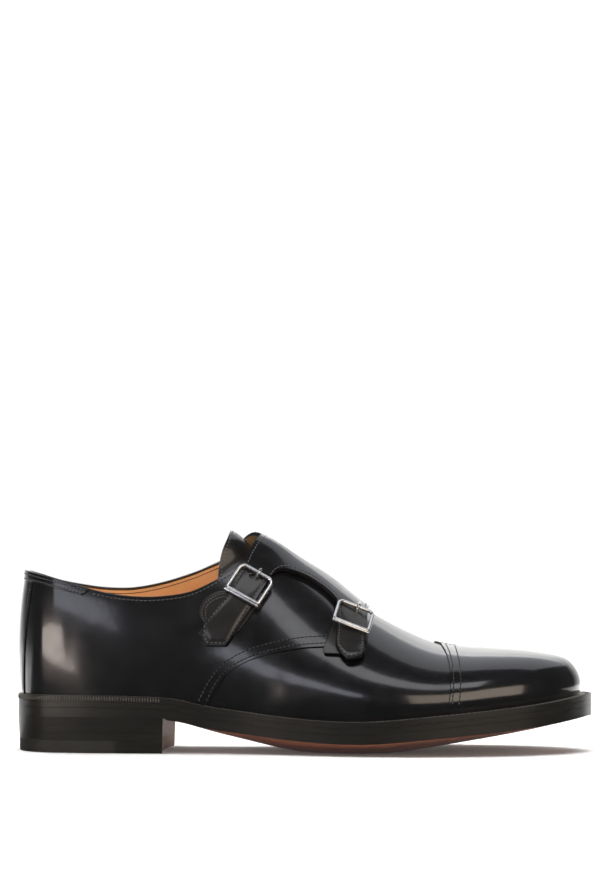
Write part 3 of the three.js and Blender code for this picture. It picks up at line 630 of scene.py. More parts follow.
def upper_shell():
    """A wall of leather over the last; inside, the lining stops 1.4 mm short of the collar's edge."""
    open_columns, closed_columns = 70, 80
    shares = np.concatenate([np.linspace(0, 0.97, 46), [0.983, 1.0]])
    rows = len(shares)
    throat = station_at(THROAT_CLOSE)
    outer = np.concatenate([np.linspace(0, throat, open_columns)[:-1],
                            np.linspace(throat, 1, closed_columns)])
    u = np.concatenate([outer, (2 - outer)[::-1][1:-1]])
    top = collar_climb(u)
    climb = shares[:, None] * top[None]
    outside = skin(u[None], climb, 0.0)
    inside = skin(u[None], climb, -WALL)
    rim_out = skin(u, top + 0.004 * (top < 1), -0.5)
    rim_in = skin(u, top + 0.004 * (top < 1), -WALL + 0.5)
    layers = np.concatenate([outside, rim_out[None], rim_in[None], inside[::-1]])
    faces = grid_faces(len(layers), len(u), wrap=True)
    band = np.repeat(np.arange(len(layers) - 1), len(u))
    column = np.tile(np.arange(len(u)), len(layers) - 1)
    following = (column + 1) % len(u)
    closed = (top[column] >= 1) & (top[following] >= 1) & (band >= rows - 1) & (band <= rows + 1)
    tan = band >= rows + 3
    foot = np.stack([np.arange(len(u)), (len(layers) - 1) * len(u) + np.arange(len(u))])
    ends = np.stack([foot[0], np.roll(foot[0], -1), np.roll(foot[1], -1), foot[1]], axis=-1)
    all_faces = np.concatenate([faces[~closed], ends])
    kinds = np.concatenate([tan[~closed].astype(int), np.zeros(len(ends), int)])
    piece = make_piece("upper_shell", layers.reshape(-1, 3), all_faces, [CALF, LINING], kinds)
    return merge_close(piece)


finish_piece(upper_shell(), "calf_leather", "upper")

# %% [markdown]
# The sole is a stack: welt, midsole, outsole. They are cut from flat leather and take the last's
# crowned bottom when they are sewn on, so all three share one curve and differ only in depth.
# Each gets a small round along its corners, which is what makes the joint lines show.

# %% sole layers
WELT, MIDSOLE, OUTSOLE = 3.2, 3.2, 5.2
HEEL_BREAST, HEEL_HEIGHT, TOP_PIECE = 82.0, 18.9, 6.7
CORNER = 0.07
RINGS = np.array([0, 0.2, 0.4, 0.55, 0.7, 0.82, 0.92, 1])
AROUND = np.linspace(0, 2, 361)[:-1]


def centre_y(x):
    return (np.interp(x, *FEATHER["outer"].T) + np.interp(x, *FEATHER["inner"].T)) / 2


def ring_points(sides, height, fraction=1.0):
    """Points round an inset outline, pulled to the middle line by fraction, at height(x, f)."""
    x, y, _ = station(sides, AROUND)
    middle = ridge_x(np.clip(x, FEATHER["back"], FEATHER["front"]))
    px, py = middle + fraction * (x - middle), centre_y(middle) + fraction * (y - centre_y(middle))
    return np.stack([px, py, height(px, fraction)], axis=-1)


def plate(name, inwards, top, bottom, materials):
    """A sole layer with its own top and bottom surface; materials are edge, top and bottom."""
    wide = inset(inwards)
    narrow = inset(lambda x: inwards(x) + CORNER)
    lines = [ring_points(narrow, top, f) for f in RINGS]
    lines.append(ring_points(wide, lambda x, f: top(x, f) - CORNER))
    lines.append(ring_points(wide, lambda x, f: (top(x, f) + bottom(x, f)) / 2))
    lines.append(ring_points(wide, lambda x, f: bottom(x, f) + CORNER))
    lines += [ring_points(narrow, bottom, f) for f in RINGS[::-1]]
    faces = grid_faces(len(lines), len(AROUND), wrap=True)
    band = np.repeat(np.arange(len(lines) - 1), len(AROUND))
    kinds = np.where(band < len(RINGS) - 1, 1, np.where(band >= len(RINGS) + 3, 2, 0))
    piece = make_piece(name, np.concatenate(lines), faces, materials, kinds)
    return merge_close(piece)


def drop_to(depth):
    """Height of a surface that lies depth below the welt's top, on the crowned bottom."""
    return lambda x, f: welt_top(x) - depth - read(SOLE, "crown", x) * (1 - f * f)


def bottom_height(x, f):
    """The walking surface: flat on the floor under the ball, flat over the heel."""
    low = np.maximum(0, drop_to(WELT + MIDSOLE + OUTSOLE)(x, f))
    return np.where(x < HEEL_BREAST + 0.3, HEEL_HEIGHT, low)


none = lambda x: 0 * x
outsole = plate("outsole_skin", none, drop_to(WELT + MIDSOLE + 0.05), bottom_height,
                [EDGE, EDGE, BOTTOM])
midsole = plate("midsole_skin", none, drop_to(WELT + 0.05), drop_to(WELT + MIDSOLE),
                [EDGE, EDGE, EDGE])
finish_piece(outsole, "sole_leather", "outsole")
finish_piece(midsole, "sole_edge", "midsole")


def welt_ring():
    """The strip sewn round the upper's foot, with a softly rounded outer edge."""
    wide, narrow = FULL, inset(lambda x: 0 * x + CORNER)
    inside = inset(lambda x: margin(x) + 2.7)
    flat = lambda drop: (lambda x, f: welt_top(x) - drop)
    lines = [ring_points(inside, flat(0)), ring_points(narrow, flat(0)), ring_points(wide, flat(CORNER)),
             ring_points(wide, flat(WELT / 2)), ring_points(wide, flat(WELT - CORNER)),
             ring_points(narrow, flat(WELT)), ring_points(inside, flat(WELT)), ring_points(inside, flat(0))]
    faces = grid_faces(len(lines), len(AROUND), wrap=True)
    band = np.repeat(np.arange(len(lines) - 1), len(AROUND))
    # the welt's top face takes the lighter grey, a painted highlight
    return merge_close(make_piece("welt_skin", np.concatenate(lines), faces, [EDGE, WELT_TOP_HIGHLIGHT], band == 0))


finish_piece(welt_ring(), "sole_edge", "welt")

# %% heel
HEEL_TAPER = 0.05
RUBBER_END = 57.0
LIFTS = 3
SIDE_COLUMNS, BREAST_COLUMNS = 60, 22


def heel_loop(inwards, height):
    """Outline of the heel at a height: it narrows towards the floor and its breast is hollow."""
    taper = HEEL_TAPER * (HEEL_HEIGHT - height)
    sides = inset(lambda x: 0 * x + taper + inwards)
    breast = HEEL_BREAST - 0.5 * taper - inwards
    x = sides["back"] + (breast - sides["back"]) * (1 - np.cos(np.linspace(0, 1, SIDE_COLUMNS) * np.pi / 2))
    outer, inner = np.interp(x, *sides["outer"].T), np.interp(x, *sides["inner"].T)
    across = np.linspace(outer[-1], inner[-1], BREAST_COLUMNS + 2)[1:-1]
    half = (inner[-1] - outer[-1]) / 2
    hollow = breast - 2.4 * (1 - ((across - (inner[-1] + outer[-1]) / 2) / half) ** 2)
    flat = np.concatenate([np.stack([x, outer], -1), np.stack([hollow, across], -1),
                           np.stack([x, inner], -1)[:0:-1]])
    return np.column_stack([flat, np.full(len(flat), height)])


def heel_layer(name, low, high, materials):
    loops = [heel_loop(CORNER, low), heel_loop(0, low + CORNER),
             heel_loop(0, high - CORNER), heel_loop(CORNER, high)]
    count = len(loops[0])
    faces = [list(f) for f in grid_faces(len(loops), count, wrap=True)]
    kinds = [int(SIDE_COLUMNS <= f[0] % count < SIDE_COLUMNS + BREAST_COLUMNS) for f in faces]
    faces += [list(range(count)), [3 * count + i for i in range(count)][::-1]]
    kinds += [2, 2]
    return merge_close(make_piece(name, np.concatenate(loops), faces, materials, kinds))


top_piece = heel_layer("top_piece_skin", 0.0, TOP_PIECE - 0.05, [TOPLIFT, BREAST, TOPLIFT, EDGE])
# In front of the rubber the top piece is leather, inked like the lifts.
for face in top_piece.data.polygons:
    if face.center.x / MM - HEEL_BACK[0] / MM > RUBBER_END and face.material_index == 0:
        face.material_index = 3
finish_piece(top_piece, "heel_rubber", "top_piece")
LIFT = (HEEL_HEIGHT - TOP_PIECE) / LIFTS
for number in range(LIFTS):
    low = TOP_PIECE + number * LIFT
    lift = heel_layer(f"heel_lift_{number + 1}_skin", low, low + LIFT, [EDGE, BREAST, EDGE])
    finish_piece(lift, "sole_edge", f"heel_lift_{number + 1}")

# %% insole and sock
INSOLE_RISE = 2.4


def insole_top(x, f):
    return welt_top(x) + INSOLE_RISE - read(SOLE, "crown", x) * (1 - f * f)


insole = plate("insole_with_sock", lambda x: margin(x) + 3.0, insole_top,
               lambda x, f: insole_top(x, f) - 3.0, [SOCK, SOCK, SOCK])
finish_piece(insole, "lining_leather", "insole")

# %% [markdown]
# A closer cuts each leather flat and stitches it over its neighbour. Here every leather is a grid
# of points on the last, drawn by its edge lines in the side view. A line drawn there is looked up
# on the last, so the edges fall where the eye sees them on the real shoe.

# %% edge lines and patches
def run_length(points):
    """Length along a line of points, from its start to each point."""
    return np.concatenate([[0], np.cumsum(np.linalg.norm(np.diff(points, axis=0), axis=1))])


def even_line(line, count):
    """A line of the side view drawn again with count points, evenly spaced."""
    line = np.asarray(line, float)
    run = run_length(line)
    places = np.linspace(0, run[-1], count)
    return np.stack([np.interp(places, run, line[:, k]) for k in (0, 1)], -1)


def patch(low, high, left, right, rows, columns):
    """Points filling four edge lines of the side view (rows run from low to high)."""
    low, high = even_line(low, columns), even_line(high, columns)
    left, right = even_line(left, rows), even_line(right, rows)
    s = np.linspace(0, 1, columns)[None, :, None]
    v = np.linspace(0, 1, rows)[:, None, None]
    ruled = (1 - v) * low[None] + v * high[None] + (1 - s) * left[:, None] + s * right[:, None]
    corners = ((1 - v) * ((1 - s) * low[0] + s * low[-1]) + v * ((1 - s) * high[0] + s * high[-1]))
    return ruled - corners


def offset_line(line, distance):
    """A line of the side view moved to its left by distance."""
    line = np.asarray(line, float)
    step = np.gradient(line, axis=0)
    step /= np.linalg.norm(step, axis=1)[:, None]
    return line + distance * np.stack([-step[:, 1], step[:, 0]], axis=1)


def at(line, u):
    """Climb of a line of pairs at stations u."""
    return np.interp(u, line[:, 0], line[:, 1])


def inside_edge(points, normals, edge, distance):
    """Points and normals of a line that keeps its distance from one edge of a grid."""
    both = np.concatenate([points, normals], axis=-1)
    if edge in ("low", "high"):
        both = both.transpose(1, 0, 2)
    if edge in ("high", "right"):
        both = both[:, ::-1]
    line = []
    for row in both:
        run = run_length(row[:, :3])
        line.append([np.interp(distance, run, row[:, k]) for k in range(6)])
    line = np.array(line)
    return line[:, :3], line[:, 3:]


# %% quarter seam
QUARTER_LIFT = QUARTER + 0.05
SEAM_SEEN = spline([(100.5, 22.5), (103, 28), (107, 35.5), (112.4, 42.2), (120, 47.4), (130, 51.4),
                    (143, 54.6), (155, 56.4), (166.7, 57.2), (174, 59.5), (180, 64), (184, 71),
                    (186.4, 80)], 10)
SEAM = find(SEAM_SEEN[:, 0], SEAM_SEEN[:, 1], QUARTER_LIFT)
SEAM[:, 0] = np.maximum.accumulate(SEAM[:, 0]) + np.arange(len(SEAM)) * 1e-7


def sheet(name, grids, thickness, materials, lifts, edge=0.4, weights=None, kinds=None):
    """One leather from one or more grids of pairs, with its thickness below the outer face."""
    points = [skin(g[..., 0], g[..., 1], lift) for g, lift in zip(grids, lifts)]
    faces, start = [], 0
    for grid in points:
        faces.append(grid_faces(grid.shape[0], grid.shape[1], start=start))
        start += grid.shape[0] * grid.shape[1]
    kinds = np.repeat(kinds or [0] * len(grids), [len(f) for f in faces])
    vertices = np.concatenate([grid.reshape(-1, 3) for grid in points])
    piece = make_piece(name, vertices, np.concatenate(faces), materials, kinds)
    merge_close(piece, turn=False)
    if weights is not None:
        weights = weights(piece)
    thicken(piece, thickness, edge, rim=1, back=2, weights=weights)
    return piece, points


def outer_quarter():
    """From the heel's back along the collar, down to the seam with the vamp."""
    end = SEAM[-1, 0]
    u = np.concatenate([np.linspace(0.002, SEAM[0, 0], 60)[:-1], np.linspace(SEAM[0, 0], end, 90)])
    x = ridge_x(station(FEATHER, u)[0])
    low = np.where(u < SEAM[0, 0], 0.0, at(SEAM, u))
    high = np.minimum(collar_climb(u), np.interp(x, [138, 160, 186], [0.975, 0.96, 0.86]))
    v = np.linspace(0, 1, 44)[:, None]
    climb = low + (high - low) * v
    return np.stack([np.broadcast_to(u, climb.shape), climb], axis=-1)


outer_grid = outer_quarter()
outer_piece, _ = sheet("outer_quarter", [outer_grid], QUARTER, [CALF, LEATHER_EDGE, CALF],
                       [QUARTER_LIFT], edge=0.35)
finish_piece(outer_piece, "calf_leather")

# %% [markdown]
# The strap panel is the shoe's sign. The inner quarter is carried over the instep as one piece
# and ends in two straps on the outer side, so it is built as one sheet too: the inner quarter,
# the bridge over the instep, and the straps, joined along their shared rows. It lies on the
# quarter at the inner side, and stands off the tongue where the foot goes in.

# %% strap panel
STRAP, STRAP_LIFT = 2.1, 2.4
STRAP_TOP = STRAP + STRAP_LIFT
RIDGE_LIFT = table("x lift", (126, 4.6), (136, 4.4), (150, 2.5), (167, 1.6), (187, 0.5))
PANEL_BACK, PANEL_FRONT = 129.6, 188.6


def panel_lift(u, t):
    """Lift of the panel's outer face: high over the tongue, down to the quarter at the inner side."""
    x = ridge_x(station(FEATHER, u)[0])
    ridge = read(RIDGE_LIFT, "lift", x) + STRAP
    outer_side = STRAP_TOP + (ridge - STRAP_TOP) * smooth(0.78, 1, t)
    share = (1 - smooth(1, 1.45, t)) * smooth(106, 128, x)
    inner_side = QUARTER_LIFT + (ridge - QUARTER_LIFT) * share
    return np.where(t > 1, inner_side, outer_side)


CROSS_1 = [(121.6, 101.8), (135.2, 92.8)]
CROSS_2 = [(171.9, 81.8), (188.6, 76.4)]
ARCH = [(135.2, 92.8), (137.2, 95.6), (140, 97.3), (143.6, 97.9), (148, 97), (153.4, 95.1), (159.1, 92.2),
        (166.7, 87), (171.9, 81.8)]
# each strap's left edge, right edge and tip
STRAP_1 = ([(121.6, 101.8), (112.6, 84.6), (99.2, 68.2)],
           [(135.2, 92.8), (125.2, 77.3), (112, 58.2)],
           [(99.2, 68.2), (98.7, 60.8), (100.6, 57.3), (110.8, 57.1), (112, 58.2)])
STRAP_2 = ([(171.9, 81.8), (171.8, 67.8), (171.6, 57.6)],
           [(188.6, 76.4), (187.2, 64.6), (185.4, 53.4)],
           [(171.6, 57.6), (174, 53.6), (176.9, 50.8), (179.5, 50.6), (184.8, 52), (185.4, 53.4)])
STITCH_INSET, PILLOW_RISE = 1.75, 0.35


def panel_grids():
    """Grids of pairs: the bridge with the inner quarter, then the two straps."""
    columns = (26, 64, 26)
    spans = (CROSS_1, spline(ARCH, 8), CROSS_2)
    foot = [even_line(line, count) for line, count in zip(spans, columns)]
    seen = np.concatenate([foot[0], foot[1][1:], foot[2][1:]])
    front_line = find(seen[:, 0], seen[:, 1], panel_lift)
    share = run_length(seen) / run_length(seen)[-1]
    ridge_u = station_at(PANEL_BACK + (PANEL_FRONT - PANEL_BACK) * share)
    ridge_line = np.stack([ridge_u, np.ones(len(share))], -1)
    bridge = blend_lines(front_line, ridge_line, np.linspace(0, 1, 30) ** 1.4)

    heel_u = np.linspace(0.002, station_at(PANEL_BACK), 110)[:-1]
    u = np.concatenate([heel_u, ridge_u])
    x = ridge_x(station(FEATHER, u)[0])
    topline = 2 - collar_climb(2 - u)
    lift_off = smooth(112, PANEL_BACK, x)
    high = np.where(x < PANEL_BACK, 1 + (topline - 1) * (1 - lift_off), 1.0)
    seam = 2 - np.where(u < SEAM[0, 0], 0.0, at(SEAM, u))
    front_drop = smooth(170, PANEL_FRONT, x)
    low = np.minimum(seam, 2.05 - 0.72 * front_drop ** 2)
    v = np.linspace(0, 1, 60)[:, None]
    climb = high + (low - high) * v
    inner = np.stack([np.broadcast_to(u, climb.shape), climb], axis=-1)

    def strap(cross, edges):
        left, right, tip = edges
        drawn = patch(tip, cross, left[::-1], right[::-1], 40, 26)
        return find(drawn[..., 0], drawn[..., 1], panel_lift)

    return inner, bridge, strap(CROSS_1, STRAP_1), strap(CROSS_2, STRAP_2)


def pillow(points):
    """Extra lift over a strap: soft middle, with the stitch row pulled down near each edge."""
    across = np.array([run_length(row) for row in points])
    edge = np.minimum(across, across[:, -1:] - across)
    along = np.array([run_length(column) for column in points.transpose(1, 0, 2)]).T
    edge = np.minimum(edge, along)
    groove = np.exp(-((edge - STITCH_INSET) / 0.55) ** 2)
    return PILLOW_RISE * smooth(0.5, 5, edge) - 0.22 * groove


panel_parts = panel_grids()
lifts = [panel_lift(g[..., 0], g[..., 1]) for g in panel_parts]
for index in (2, 3):
    flat = skin(panel_parts[index][..., 0], panel_parts[index][..., 1], lifts[index])
    fade = np.linspace(1, 0, flat.shape[0])[:, None] ** 0.5
    extra = pillow(flat) * np.minimum(1, fade * 2.2)
    extra[-1] = 0
    lifts[index] = lifts[index] + extra
lifts[3] = lifts[3] + 1.2 * (1 - smooth(0, 0.3, np.linspace(0, 1, 40)))[:, None]


def panel_weights(piece):
    """Full thickness over the instep, the quarter's thickness low on the inner side."""
    spots = np.array([v.co for v in piece.data.vertices]) / MM - HEEL_BACK / MM
    inner_side = smooth(8, 26, spots[:, 1])
    towards_heel = 1 - smooth(108, 126, spots[:, 0])
    thin = np.maximum(inner_side, towards_heel)
    return 1 - thin * (1 - QUARTER / STRAP)


panel_piece, panel_points = sheet("strap_panel_leather", panel_parts, STRAP,
                                  [CALF, LEATHER_EDGE, LINING, STRAP_CALF, LEATHER_EDGE, CALF],
                                  lifts, edge=0.5, weights=panel_weights, kinds=[0, 0, 3, 3])
finish_piece(panel_piece, "calf_leather", "strap_panel")

# %% [markdown]
# The toe cap is folded over and double stitched across the toes. Its back edge is a clean step,
# so it is a real sheet with thickness, running round the toe from one side to the other.

# %% toe cap
CAP_SEEN = spline([(224.2, 60.4), (227.4, 58.2), (230.4, 54.2), (232.2, 48.8), (233, 42.6),
                   (233, 35.5), (232.3, 27), (231.6, 20)], 8)
CAP_LIFT = 0.85


def cap_edge(seen, lift):
    """Pairs of a cap line, from the ridge down to the welt, ordered by climb."""
    line = find(seen[:, 0], seen[:, 1], lift)
    line[0, 1] = 1.0
    return line[::-1]


CAP_LINE = cap_edge(CAP_SEEN, CAP_LIFT)


def toe_cap():
    climb = np.linspace(0, 1, 36)
    back = np.interp(climb, CAP_LINE[:, 1], CAP_LINE[:, 0])[:, None]
    s = (np.linspace(-1, 1, 121) + 0.12 * np.sin(np.pi * np.linspace(-1, 1, 121)))[None]
    u = 1 + s * (1 - back)
    return np.stack([u, np.broadcast_to(climb[:, None], u.shape)], axis=-1)


cap_grid = toe_cap()
cap_piece, _ = sheet("toe_cap_leather", [cap_grid], 0.8, [CAP_CALF, LEATHER_EDGE, CALF],
                     [CAP_LIFT], edge=0.3)
finish_piece(cap_piece, "calf_leather", "toe_cap")

# %% tongue
TONGUE_THICKNESS = 2.0
TONGUE_SEEN = spline([(105.4, 80), (106.5, 86.5), (107.4, 94), (109.2, 104), (111.6, 112),
                      (114.4, 119)], 8)


def tongue_lift(u, t):
    """Inside the quarters low down, then rising between them to stand behind the strap panel."""
    x = ridge_x(station(FEATHER, u)[0])
    open_part = np.where(t < 1, t - collar_climb(u), 2 - t - collar_climb(2 - u))
    rise = (4.6 + 1.2 * np.exp(-((x - 112) / 9) ** 2)) * smooth(0.02, 0.26, open_part)
    return rise * (1 - smooth(116, 132, x)) - WALL - 0.25


def tongue_pairs():
    edge = find(TONGUE_SEEN[:, 0], TONGUE_SEEN[:, 1], tongue_lift)
    edge = edge[edge[:, 1] < 0.995]
    edge = np.vstack([edge, [edge[-1, 0], 1.0]])
    edge[:, 1] = np.maximum.accumulate(edge[:, 1]) + np.arange(len(edge)) * 1e-7
    low = edge[0, 1]
    v = np.linspace(0, 1, 60)[:, None]
    climb = low + (2 - 2 * low) * v
    back = np.interp(np.minimum(climb, 2 - climb), edge[:, 1], edge[:, 0])
    s = np.linspace(0, 1, 36)[None]
    u = back + (station_at(152.0) - back) * s
    return np.stack([u, np.broadcast_to(climb, u.shape)], axis=-1)


tongue_grid = tongue_pairs()
tongue_piece, (tongue_points,) = sheet("tongue_leather", [tongue_grid], TONGUE_THICKNESS,
                                       [STRAP_CALF, LEATHER_EDGE, LINING],
                                       [tongue_lift(tongue_grid[..., 0], tongue_grid[..., 1])],
                                       edge=0.4)
finish_piece(tongue_piece, "calf_leather", "tongue")

# %% dog-tail band and backstay
BAND_LIFT = QUARTER_LIFT + 0.85


def climb_below(u, distance):
    """Climb that lies distance millimetres under the collar's edge."""
    u = np.asarray(u, float)
    outer_side = station(FEATHER, u)[2]
    return solve_climb(u, lambda place: collar_height(outer_side, place) - distance, 0.1, 1.0)


def band_grid():
    v = np.linspace(0, 1, 12)[:, None]
    s = np.linspace(-1, 1, 110)[None]
    reach = 41.8 + 3.0 * v
    u = s * station_at(reach)
    drop = (5.4 - 0.9 * np.abs(s)) * (1 - v)
    return np.stack([u, climb_below(u, drop)], axis=-1)


band_pairs = band_grid()
roll = 0.7 * np.exp(-(band_pairs[..., 0] / 0.12) ** 2) * np.linspace(0, 1, 12)[:, None]
band_piece, (band_points,) = sheet("collar_band", [band_pairs], 0.85, [CALF, LEATHER_EDGE, CALF],
                                   [BAND_LIFT + roll], edge=0.25)
finish_piece(band_piece, "calf_leather")


def backstay_grid():
    v = np.linspace(0, 1, 40)[:, None]
    s = np.linspace(-1, 1, 22)[None]
    half = station_at(31.0) * (0.62 + 0.28 * v)
    u = s * half
    return np.stack([u, v * climb_below(u, 4.6)], axis=-1)


stay_pairs = backstay_grid()
stay_piece, (stay_points,) = sheet("backstay", [stay_pairs], 0.75, [CALF, LEATHER_EDGE, CALF],
                                   [QUARTER_LIFT + 0.7], edge=0.25)
finish_piece(stay_piece, "calf_leather")

# %% buckle tabs and gimped patch
TAB_LIFT = QUARTER_LIFT + 1.25
# each tab's left edge, right edge, tip and upper end
TABS = {
    "back": ([(118.6, 88.0), (108, 76), (96.5, 63.9)],
             [(134.4, 84.0), (126.8, 76), (118.6, 64.8)],
             [(96.5, 63.9), (98.4, 61.4), (106, 60.4), (114, 61.6), (118.6, 64.8)],
             [(118.6, 88.0), (134.4, 84.0)]),
    "front": ([(172.4, 76), (168.6, 66), (163.9, 55.4)],
              [(188.4, 71), (187.4, 64), (184.4, 55)],
              [(163.9, 55.4), (164.6, 53.4), (174, 53.2), (184.4, 55)],
              [(172.4, 76), (188.4, 71)]),
}
for name, (left, right, tip, cross) in TABS.items():
    drawn = patch(tip, cross, left[::-1], right[::-1], 24, 18)
    pairs = find(drawn[..., 0], drawn[..., 1], TAB_LIFT)
    piece, _ = sheet(f"buckle_tab_{name}_leather", [pairs], 1.2, [STRAP_CALF, LEATHER_EDGE, CALF],
                     [TAB_LIFT], edge=0.3)
    finish_piece(piece, "calf_leather", f"buckle_tab_{name}")

PATCH_LIFT = QUARTER_LIFT + 0.8
GIMP, TOOTH = 0.55, 1.5


def gimped(line):
    """A line of the side view cut with small pointed teeth, as pinking shears leave it."""
    length = run_length(line)[-1]
    even = even_line(line, int(length / (TOOTH / 4)))
    at_run = np.linspace(0, length, len(even))
    wave = GIMP * (2 * np.abs(np.mod(at_run / TOOTH, 1) - 0.5) - 0.5)
    return offset_line(even, 1.0) * wave[:, None] + even * (1 - wave[:, None])


patch_edge = gimped(spline([(99.4, 69.4), (97.6, 72.8), (97.4, 76.2), (98.6, 79.4), (101.6, 82.5),
                            (105.5, 84.7), (108.6, 85.7), (111.4, 85.2), (114, 82)], 8))
patch_inner = np.linspace((104.5, 68.5), (115.5, 78.5), len(patch_edge))
v = np.linspace(0, 1, 14)[:, None, None]
patch_drawn = (patch_edge[None] * (1 - v) + patch_inner[None] * v).transpose(1, 0, 2)
patch_pairs = find(patch_drawn[..., 0], patch_drawn[..., 1], PATCH_LIFT)
patch_piece, (patch_points,) = sheet("gimped_patch", [patch_pairs], 0.8,
                                     [STRAP_CALF, LEATHER_EDGE, CALF], [PATCH_LIFT], edge=0.18)
finish_piece(patch_piece, "calf_leather")

# %% [markdown]
# Stitches. A closer's machine makes about eleven stitches to the inch on a dress shoe, so each is
# 2.3 mm long. Every stitch is a small, half sunk ellipsoid of thread, and at its end a flat near-black
# bead paints the shade inside the needle hole; each row is one joined mesh. They could be a bump
# pattern, but real ones catch the light at the edge of the shoe and can be counted.

# %% stitches
PITCH = 2.25
SEGMENTS = 6


def bead():
    """Points and faces of a ball with few sides: poles along the first direction."""
    rings = [(-1.0, 0.0), (-0.62, 0.78), (0.0, 1.0), (0.62, 0.78), (1.0, 0.0)]
    points, faces = [(-1, 0, 0)], []
    for along, radius in rings[1:-1]:
        for k in range(SEGMENTS):
            turn = 2 * math.pi * k / SEGMENTS
            points.append((along, radius * math.cos(turn), radius * math.sin(turn)))
    points.append((1, 0, 0))
    last = len(points) - 1
    for k in range(SEGMENTS):
        n = (k + 1) % SEGMENTS
        faces.append((0, 1 + n, 1 + k, 1 + k))
        for ring in range(len(rings) - 3):
            low, high = 1 + ring * SEGMENTS, 1 + (ring + 1) * SEGMENTS
            faces.append((low + k, low + n, high + n, high + k))
        high = 1 + (len(rings) - 3) * SEGMENTS
        faces.append((high + k, high + n, last, last))
    return np.array(points, float), faces


BEAD_POINTS, BEAD_FACES = bead()


class Row:
    """Collects the beads of several stitch rows into one mesh: thread, and painted shade for the needle
    holes.
    """

    def __init__(self, name, thread_material, size=0.34, pitch=PITCH):
        self.name, self.material, self.size, self.pitch = name, thread_material, size, pitch
        self.points, self.faces, self.kinds, self.count = [], [], [], 0

    def beads(self, centres, along, across, normal, half, width, height, kind):
        shape = (centres[:, None] + along[:, None] * (BEAD_POINTS[None, :, 0:1] * half)
                 + across[:, None] * (BEAD_POINTS[None, :, 1:2] * width)
                 + normal[:, None] * (BEAD_POINTS[None, :, 2:3] * height))
        base = sum(len(p) for p in self.points)
        for index in range(len(centres)):
            start = base + index * len(BEAD_POINTS)
            self.faces += [[start + v for v in dict.fromkeys(face)] for face in BEAD_FACES]
        self.points.append(shape.reshape(-1, 3))
        self.kinds += [kind] * (len(centres) * len(BEAD_FACES))

    def add(self, points, normals, start=0.0, end=0.0, lean=7.0):
        """A row along a line of points, leaving start and end millimetres free."""
        run = run_length(points)
        number = int((run[-1] - start - end) / self.pitch)
        if number < 1:
            return
        places = start + (np.arange(number) + 0.5) * (run[-1] - start - end) / number

        def look(values, where):
            return np.stack([np.interp(where, run, values[:, k]) for k in range(3)], -1)

        centres, normal = look(points, places), look(normals, places)
        normal /= np.linalg.norm(normal, axis=1)[:, None]
        along = look(points, places + 0.5) - look(points, places - 0.5)
        along -= normal * np.sum(along * normal, axis=1)[:, None]
        along /= np.linalg.norm(along, axis=1)[:, None]
        across = np.cross(normal, along)
        tilt = math.radians(lean)
        leaning = along * math.cos(tilt) + across * math.sin(tilt)
        aside = np.cross(normal, leaning)
        self.beads(centres, leaning, aside, normal, 0.36 * self.pitch, self.size, self.size * 0.75, 0)
        # At each needle hole a flat near-black bead paints the shade inside it.
        holes = centres + along * self.pitch / 2
        self.beads(holes, along, across, normal, 0.22 * self.pitch, self.size * 1.15, 0.09, 1)
        self.count += number

    def pairs(self, line, lift, **ends):
        """A row along a line of pairs on the last, at a lift."""
        self.add(skin(line[:, 0], line[:, 1], lift), last_normal(line[:, 0], line[:, 1]), **ends)

    def build(self):
        piece = make_piece(self.name, np.concatenate(self.points), self.faces,
                           [self.material, HOLE_SHADE], self.kinds)
        print(f"{self.name}: {self.count} stitches")
        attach(piece, "root")
        return piece


# Near black: painted shade inside needle holes and punched holes, which are not cut through.
HOLE_SHADE = plain_leather("hole_painted_shade", "#030303", "#060606", 0.8, 0.4, 0.1)

# %% rows on the quarters and the vamp
rows = Row("quarter_stitches", THREAD)
for distance in (1.7, 5.3):
    seen = offset_line(SEAM_SEEN, distance)
    seen = seen[(seen[:, 0] < 178) & (seen[:, 1] > 27)]
    line = find(seen[:, 0], seen[:, 1], QUARTER_LIFT)
    rows.pairs(line, QUARTER_LIFT, end=1.0)
    rows.pairs(mirrored(line), QUARTER_LIFT, end=1.0)
collar_u = np.linspace(station_at(45.5), station_at(121.0), 90)
collar = np.stack([collar_u, climb_below(collar_u, 1.9)], -1)
rows.pairs(collar, QUARTER_LIFT)
inner_u = 2 - np.linspace(station_at(45.5), station_at(112.0), 90)
rows.pairs(np.stack([inner_u, climb_below(inner_u, 1.9)], -1), QUARTER_LIFT)
rows.build()

# %% rows on the cap, the collar band and the backstay
rows = Row("cap_stitches", THREAD)
for distance in (1.6, 5.4):
    seen = offset_line(CAP_SEEN, distance)
    line = cap_edge(seen[seen[:, 1] > 26.5], CAP_LIFT)
    rows.pairs(np.vstack([line, mirrored(line)[::-1]]), CAP_LIFT)
rows.build()

rows = Row("band_stitches", THREAD, size=0.28, pitch=1.9)
band_normals = last_normal(band_pairs[..., 0], band_pairs[..., 1])
for edge, distance in (("high", 1.7), ("low", 0.95)):
    rows.add(*inside_edge(band_points, band_normals, edge, distance), start=1.2, end=1.2)
for edge in ("left", "right"):
    rows.add(*inside_edge(band_points, band_normals, edge, 1.0), start=1.0, end=1.6)
stay_normals = last_normal(stay_pairs[..., 0], stay_pairs[..., 1])
for edge in ("left", "right"):
    rows.add(*inside_edge(stay_points, stay_normals, edge, 1.3), start=1.5)
rows.build()

